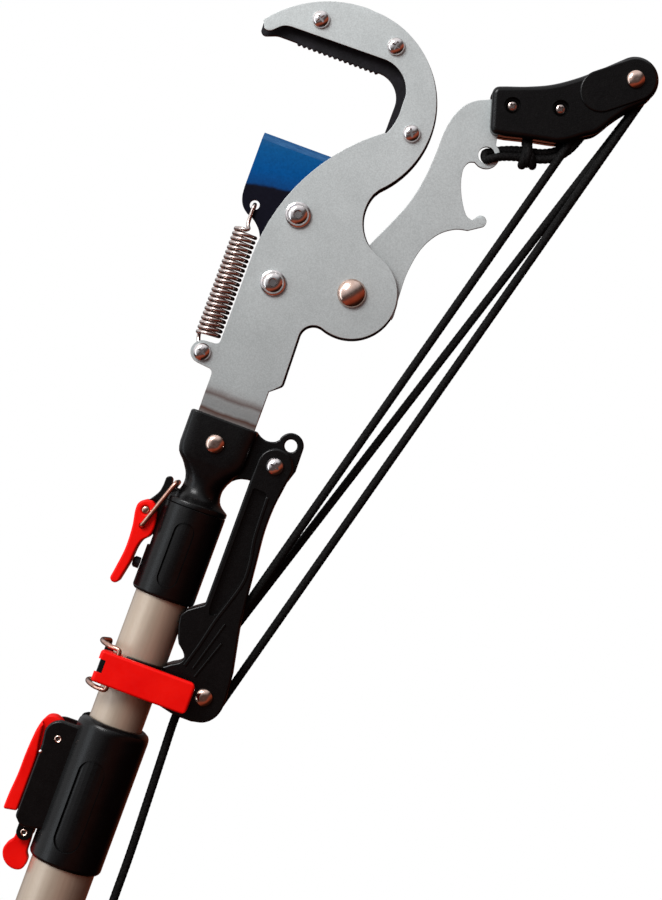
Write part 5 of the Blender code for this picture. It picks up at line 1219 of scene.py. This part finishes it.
def make_rope():
    first_top, first_low = tangent(-1, -1)
    second_top, second_low = tangent(1, -1)
    third_top, third_low = tangent(1, 1)
    front, back = -SHEAVE_Y, SHEAVE_Y
    strands = (("first", first_top, first_low, front, front), ("second", second_top, second_low, back, back),
               ("third", third_top, third_low, front, back))
    for name, top, low, top_y, low_y in strands:
        high, deep = Vector((top.x, top_y, top.y)), Vector((low.x, low_y, low.y))
        obj = piece("rope_" + name, braid([deep, high]), "black_rope", "rope_strand_" + name, SMOOTH)
        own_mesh(obj)
    over = wrap(UPPER_AXLE, third_top, first_top, front, False)
    piece("rope_over", braid(over), "black_rope", "rope_upper_turn", SMOOTH, "lever")
    under = wrap(LOWER_AXLE, second_low, third_low, back, False)
    piece("rope_under", braid(under), "black_rope", "rope_lower_turn", SMOOTH)
    make_tie(second_top)
    make_fall(first_low)


def make_tie(second_top):
    """Loop through the lever's ring, its knot, the loose end, and the run over the back sheave."""
    (x, z), (kx, kz) = RING, KNOT
    run = [(kx, 0.6, kz + 1.4), (92.6, 1.2, 160.6), (98.6, 1.8, 164.2), (103.2, 2.4, 170.6),
           (105.6, SHEAVE_Y, 180)]
    start = Vector((UPPER_AXLE[0] - WRAP, UPPER_AXLE[1] + 1))
    over = wrap(UPPER_AXLE, start, second_top, SHEAVE_Y, True)
    main = braid(flow(run + [over[0]], 10) + over[1:])
    leg = [(x - 0.6, 1.6, z + 1.2), (x + 1.6, 2.6, z + 2.6), (x + 5, 2.4, z + 4.6),
           (x + 10, 1.6, z + 6.6), (kx - 1, 1, kz + 1.4)]
    back = [(a + 1.2, -b, c - 3.3) for a, b, c in reversed(leg)]
    loop = braid(flow(back + [(x - 0.7, 0, z - 0.4)] + leg, 8))
    tail = braid(flow([(kx + 1, -1, kz - 1.6), (92, -1.2, 157), (98.4, -1, 160),
                       (103.4, -1.6, 165.6), (106.6, -2.4, 173)], 8))
    coils = []
    for offset, tall, lean, deep in ((-0.9, 5.1, 1.5, 3.2), (0.9, 5.3, -1.5, 3.6), (0.1, 4.3, 0.3, 4.3)):
        turn = []
        for i in range(33):
            a = 2 * math.pi * i / 32
            shift = RIGHT * (offset + lean * math.sin(a)) + UP * (tall * math.sin(a))
            turn.append((kx + shift.x, deep * math.cos(a), kz + shift.z))
        coils.append(braid(turn))
    piece("rope_knot", group(main, loop, tail, *coils), "black_rope", "rope_tie", SMOOTH, "lever")


def make_fall(first_low):
    """The rope from the lower sheave down to the pull handle."""
    y = -SHEAVE_Y
    route = flow([(first_low.x - 0.08, y, first_low.y - 0.3), (25, y, -132.5), (24.6, y, -141),
                  (25.2, y, -158), (26, y, -180), (26.8, y, -204), (27, y, -230), (27.4, -2.4, -300),
                  (28.4, -1.8, -420), (30.4, -0.8, -560), (32.2, -0.2, -660),
                  (HANDLE[0], 0, HANDLE[1] + 11.3 - HEAD)], 12)
    fall = piece("rope_fall_braid", braid(route), "black_rope", "rope_fall", SMOOTH, None)
    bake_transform(fall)


# Light and camera

def make_stage():
    mesh = bpy.data.meshes.new("floor")
    mesh.from_pydata([(-1.5, -1.5, 0), (1.5, -1.5, 0), (1.5, 1.5, 0), (-1.5, 1.5, 0)], [], [(0, 1, 2, 3)])
    floor = link(bpy.data.objects.new("floor", mesh))
    floor.location.z = -0.0005
    floor.visible_glossy = False
    floor.visible_diffuse = False
    material = bpy.data.materials.new("floor_white")
    material.use_nodes = True
    shader = material.node_tree.nodes["Principled BSDF"]
    shader.inputs["Base Color"].default_value = (0.85, 0.85, 0.85, 1)
    shader.inputs["Roughness"].default_value = 0.8
    mesh.materials.append(material)


def make_world():
    """White to the camera; the object is lit by a soft fall-off from the upper left to a dark warm room."""
    world = bpy.data.worlds.new("studio")
    bpy.context.scene.world = world
    world.use_nodes = True
    tree = world.node_tree
    towards = (UP * 0.85 - RIGHT * 0.5 + FRONT * 0.1).normalized()
    view = new_node(tree, "ShaderNodeTexCoord").outputs["Generated"]
    side = new_node(tree, "ShaderNodeVectorMath", {0: view, 1: towards}, operation="DOT_PRODUCT")
    inputs = {0: side.outputs["Value"], 1: 0.5, 2: 0.5}
    half = new_node(tree, "ShaderNodeMath", inputs, operation="MULTIPLY_ADD")
    ramp = new_node(tree, "ShaderNodeValToRGB", {"Fac": half.outputs["Value"]})
    fill_ramp(ramp.color_ramp.elements, [
        (0, (0.015, 0.006, 0.004)), (0.14, (0.03, 0.01, 0.006)), (0.26, (0.22, 0.045, 0.02)),
        (0.38, (0.32, 0.08, 0.045)), (0.48, (0.1, 0.055, 0.045)), (0.58, (0.08, 0.075, 0.075)),
        (0.7, (0.6, 0.61, 0.63)), (0.8, (0.9, 0.92, 0.95)), (1, (1, 1, 1))])
    shade = tree.nodes["Background"]
    tree.links.new(ramp.outputs["Color"], shade.inputs["Color"])
    white = new_node(tree, "ShaderNodeBackground", {"Color": (1, 1, 1)})
    to_camera = new_node(tree, "ShaderNodeLightPath").outputs["Is Camera Ray"]
    inputs = {"Fac": to_camera, 1: shade.outputs["Background"], 2: white.outputs["Background"]}
    mix = new_node(tree, "ShaderNodeMixShader", inputs)
    tree.links.new(mix.outputs["Shader"], tree.nodes["World Output"].inputs["Surface"])


def add_light(name, right, up, front, size, power, colour):
    """Area light that stands to the picture's right, above and in front of the head by so many metres."""
    centre = Vector((0.03, 0, HEAD * MM))
    data = bpy.data.lights.new(name, "AREA")
    data.shape = "RECTANGLE"
    data.size, data.size_y = size
    data.energy = power
    data.color = colour
    lamp = link(bpy.data.objects.new(name, data))
    lamp.location = centre + RIGHT * right + UP * up + FRONT * front
    lamp.rotation_euler = (centre - lamp.location).to_track_quat("-Z", "Y").to_euler()


def make_lights():
    add_light("key", -0.45, 0.75, 0.75, (0.5, 0.5), 11.5, (1, 1, 1))
    add_light("left", -1, 0.1, 0.5, (0.3, 1.2), 2, (0.85, 0.94, 1))


def make_camera():
    """Along +Y, rolled so that the pole leans to the right as it rises."""
    data = bpy.data.cameras.new("camera")
    data.sensor_fit = "VERTICAL"
    data.sensor_height = 36
    data.lens = 88
    camera = link(bpy.data.objects.new("camera", data))
    c, s = math.cos(ROLL), math.sin(ROLL)
    camera.matrix_world = Matrix(((c, -s, 0, 0.049), (0, 0, -1, -1.004), (s, c, 0, HEAD * MM), (0, 0, 0, 1)))
    bpy.context.scene.camera = camera


def corners(pair):
    return [list(map(float, corner)) for corner in pair]


def dress_solids(frame):
    """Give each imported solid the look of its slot."""
    slots = {part["node"]: part["material_slot"] for part in frame["record"]["subparts"]}
    for node, obj in frame["nodes"].items():
        wanted = "bail_wire" if node in ("head_lock_pin", "clamp_pin") else slots[node]
        for place in obj.material_slots:
            place.material = LOOKS[wanted][0]


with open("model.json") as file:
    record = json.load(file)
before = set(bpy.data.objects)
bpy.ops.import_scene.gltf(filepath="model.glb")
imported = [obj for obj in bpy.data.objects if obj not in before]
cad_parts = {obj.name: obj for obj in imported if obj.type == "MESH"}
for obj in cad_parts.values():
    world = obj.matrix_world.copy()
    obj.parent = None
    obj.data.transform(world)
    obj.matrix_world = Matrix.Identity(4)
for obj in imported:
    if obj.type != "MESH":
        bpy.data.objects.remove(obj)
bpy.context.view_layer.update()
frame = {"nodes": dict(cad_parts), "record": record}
bpy.context.scene.view_settings.view_transform = "Standard"
make_camera()
make_stage()
make_world()
make_lights()
make_plain_looks()
make_plate_look()
make_blade_look()
dress_solids(frame)
make_rope()
make_spring()
make_plates()
make_blade()
make_lever()
make_fasteners()
make_arm()
make_sheaves()
make_socket()
make_bracket()
make_clamp()
make_head_lock()
make_toggle()
make_pole_lock()
make_cam()
make_catch()
make_pins()
make_grip()
make_pole()
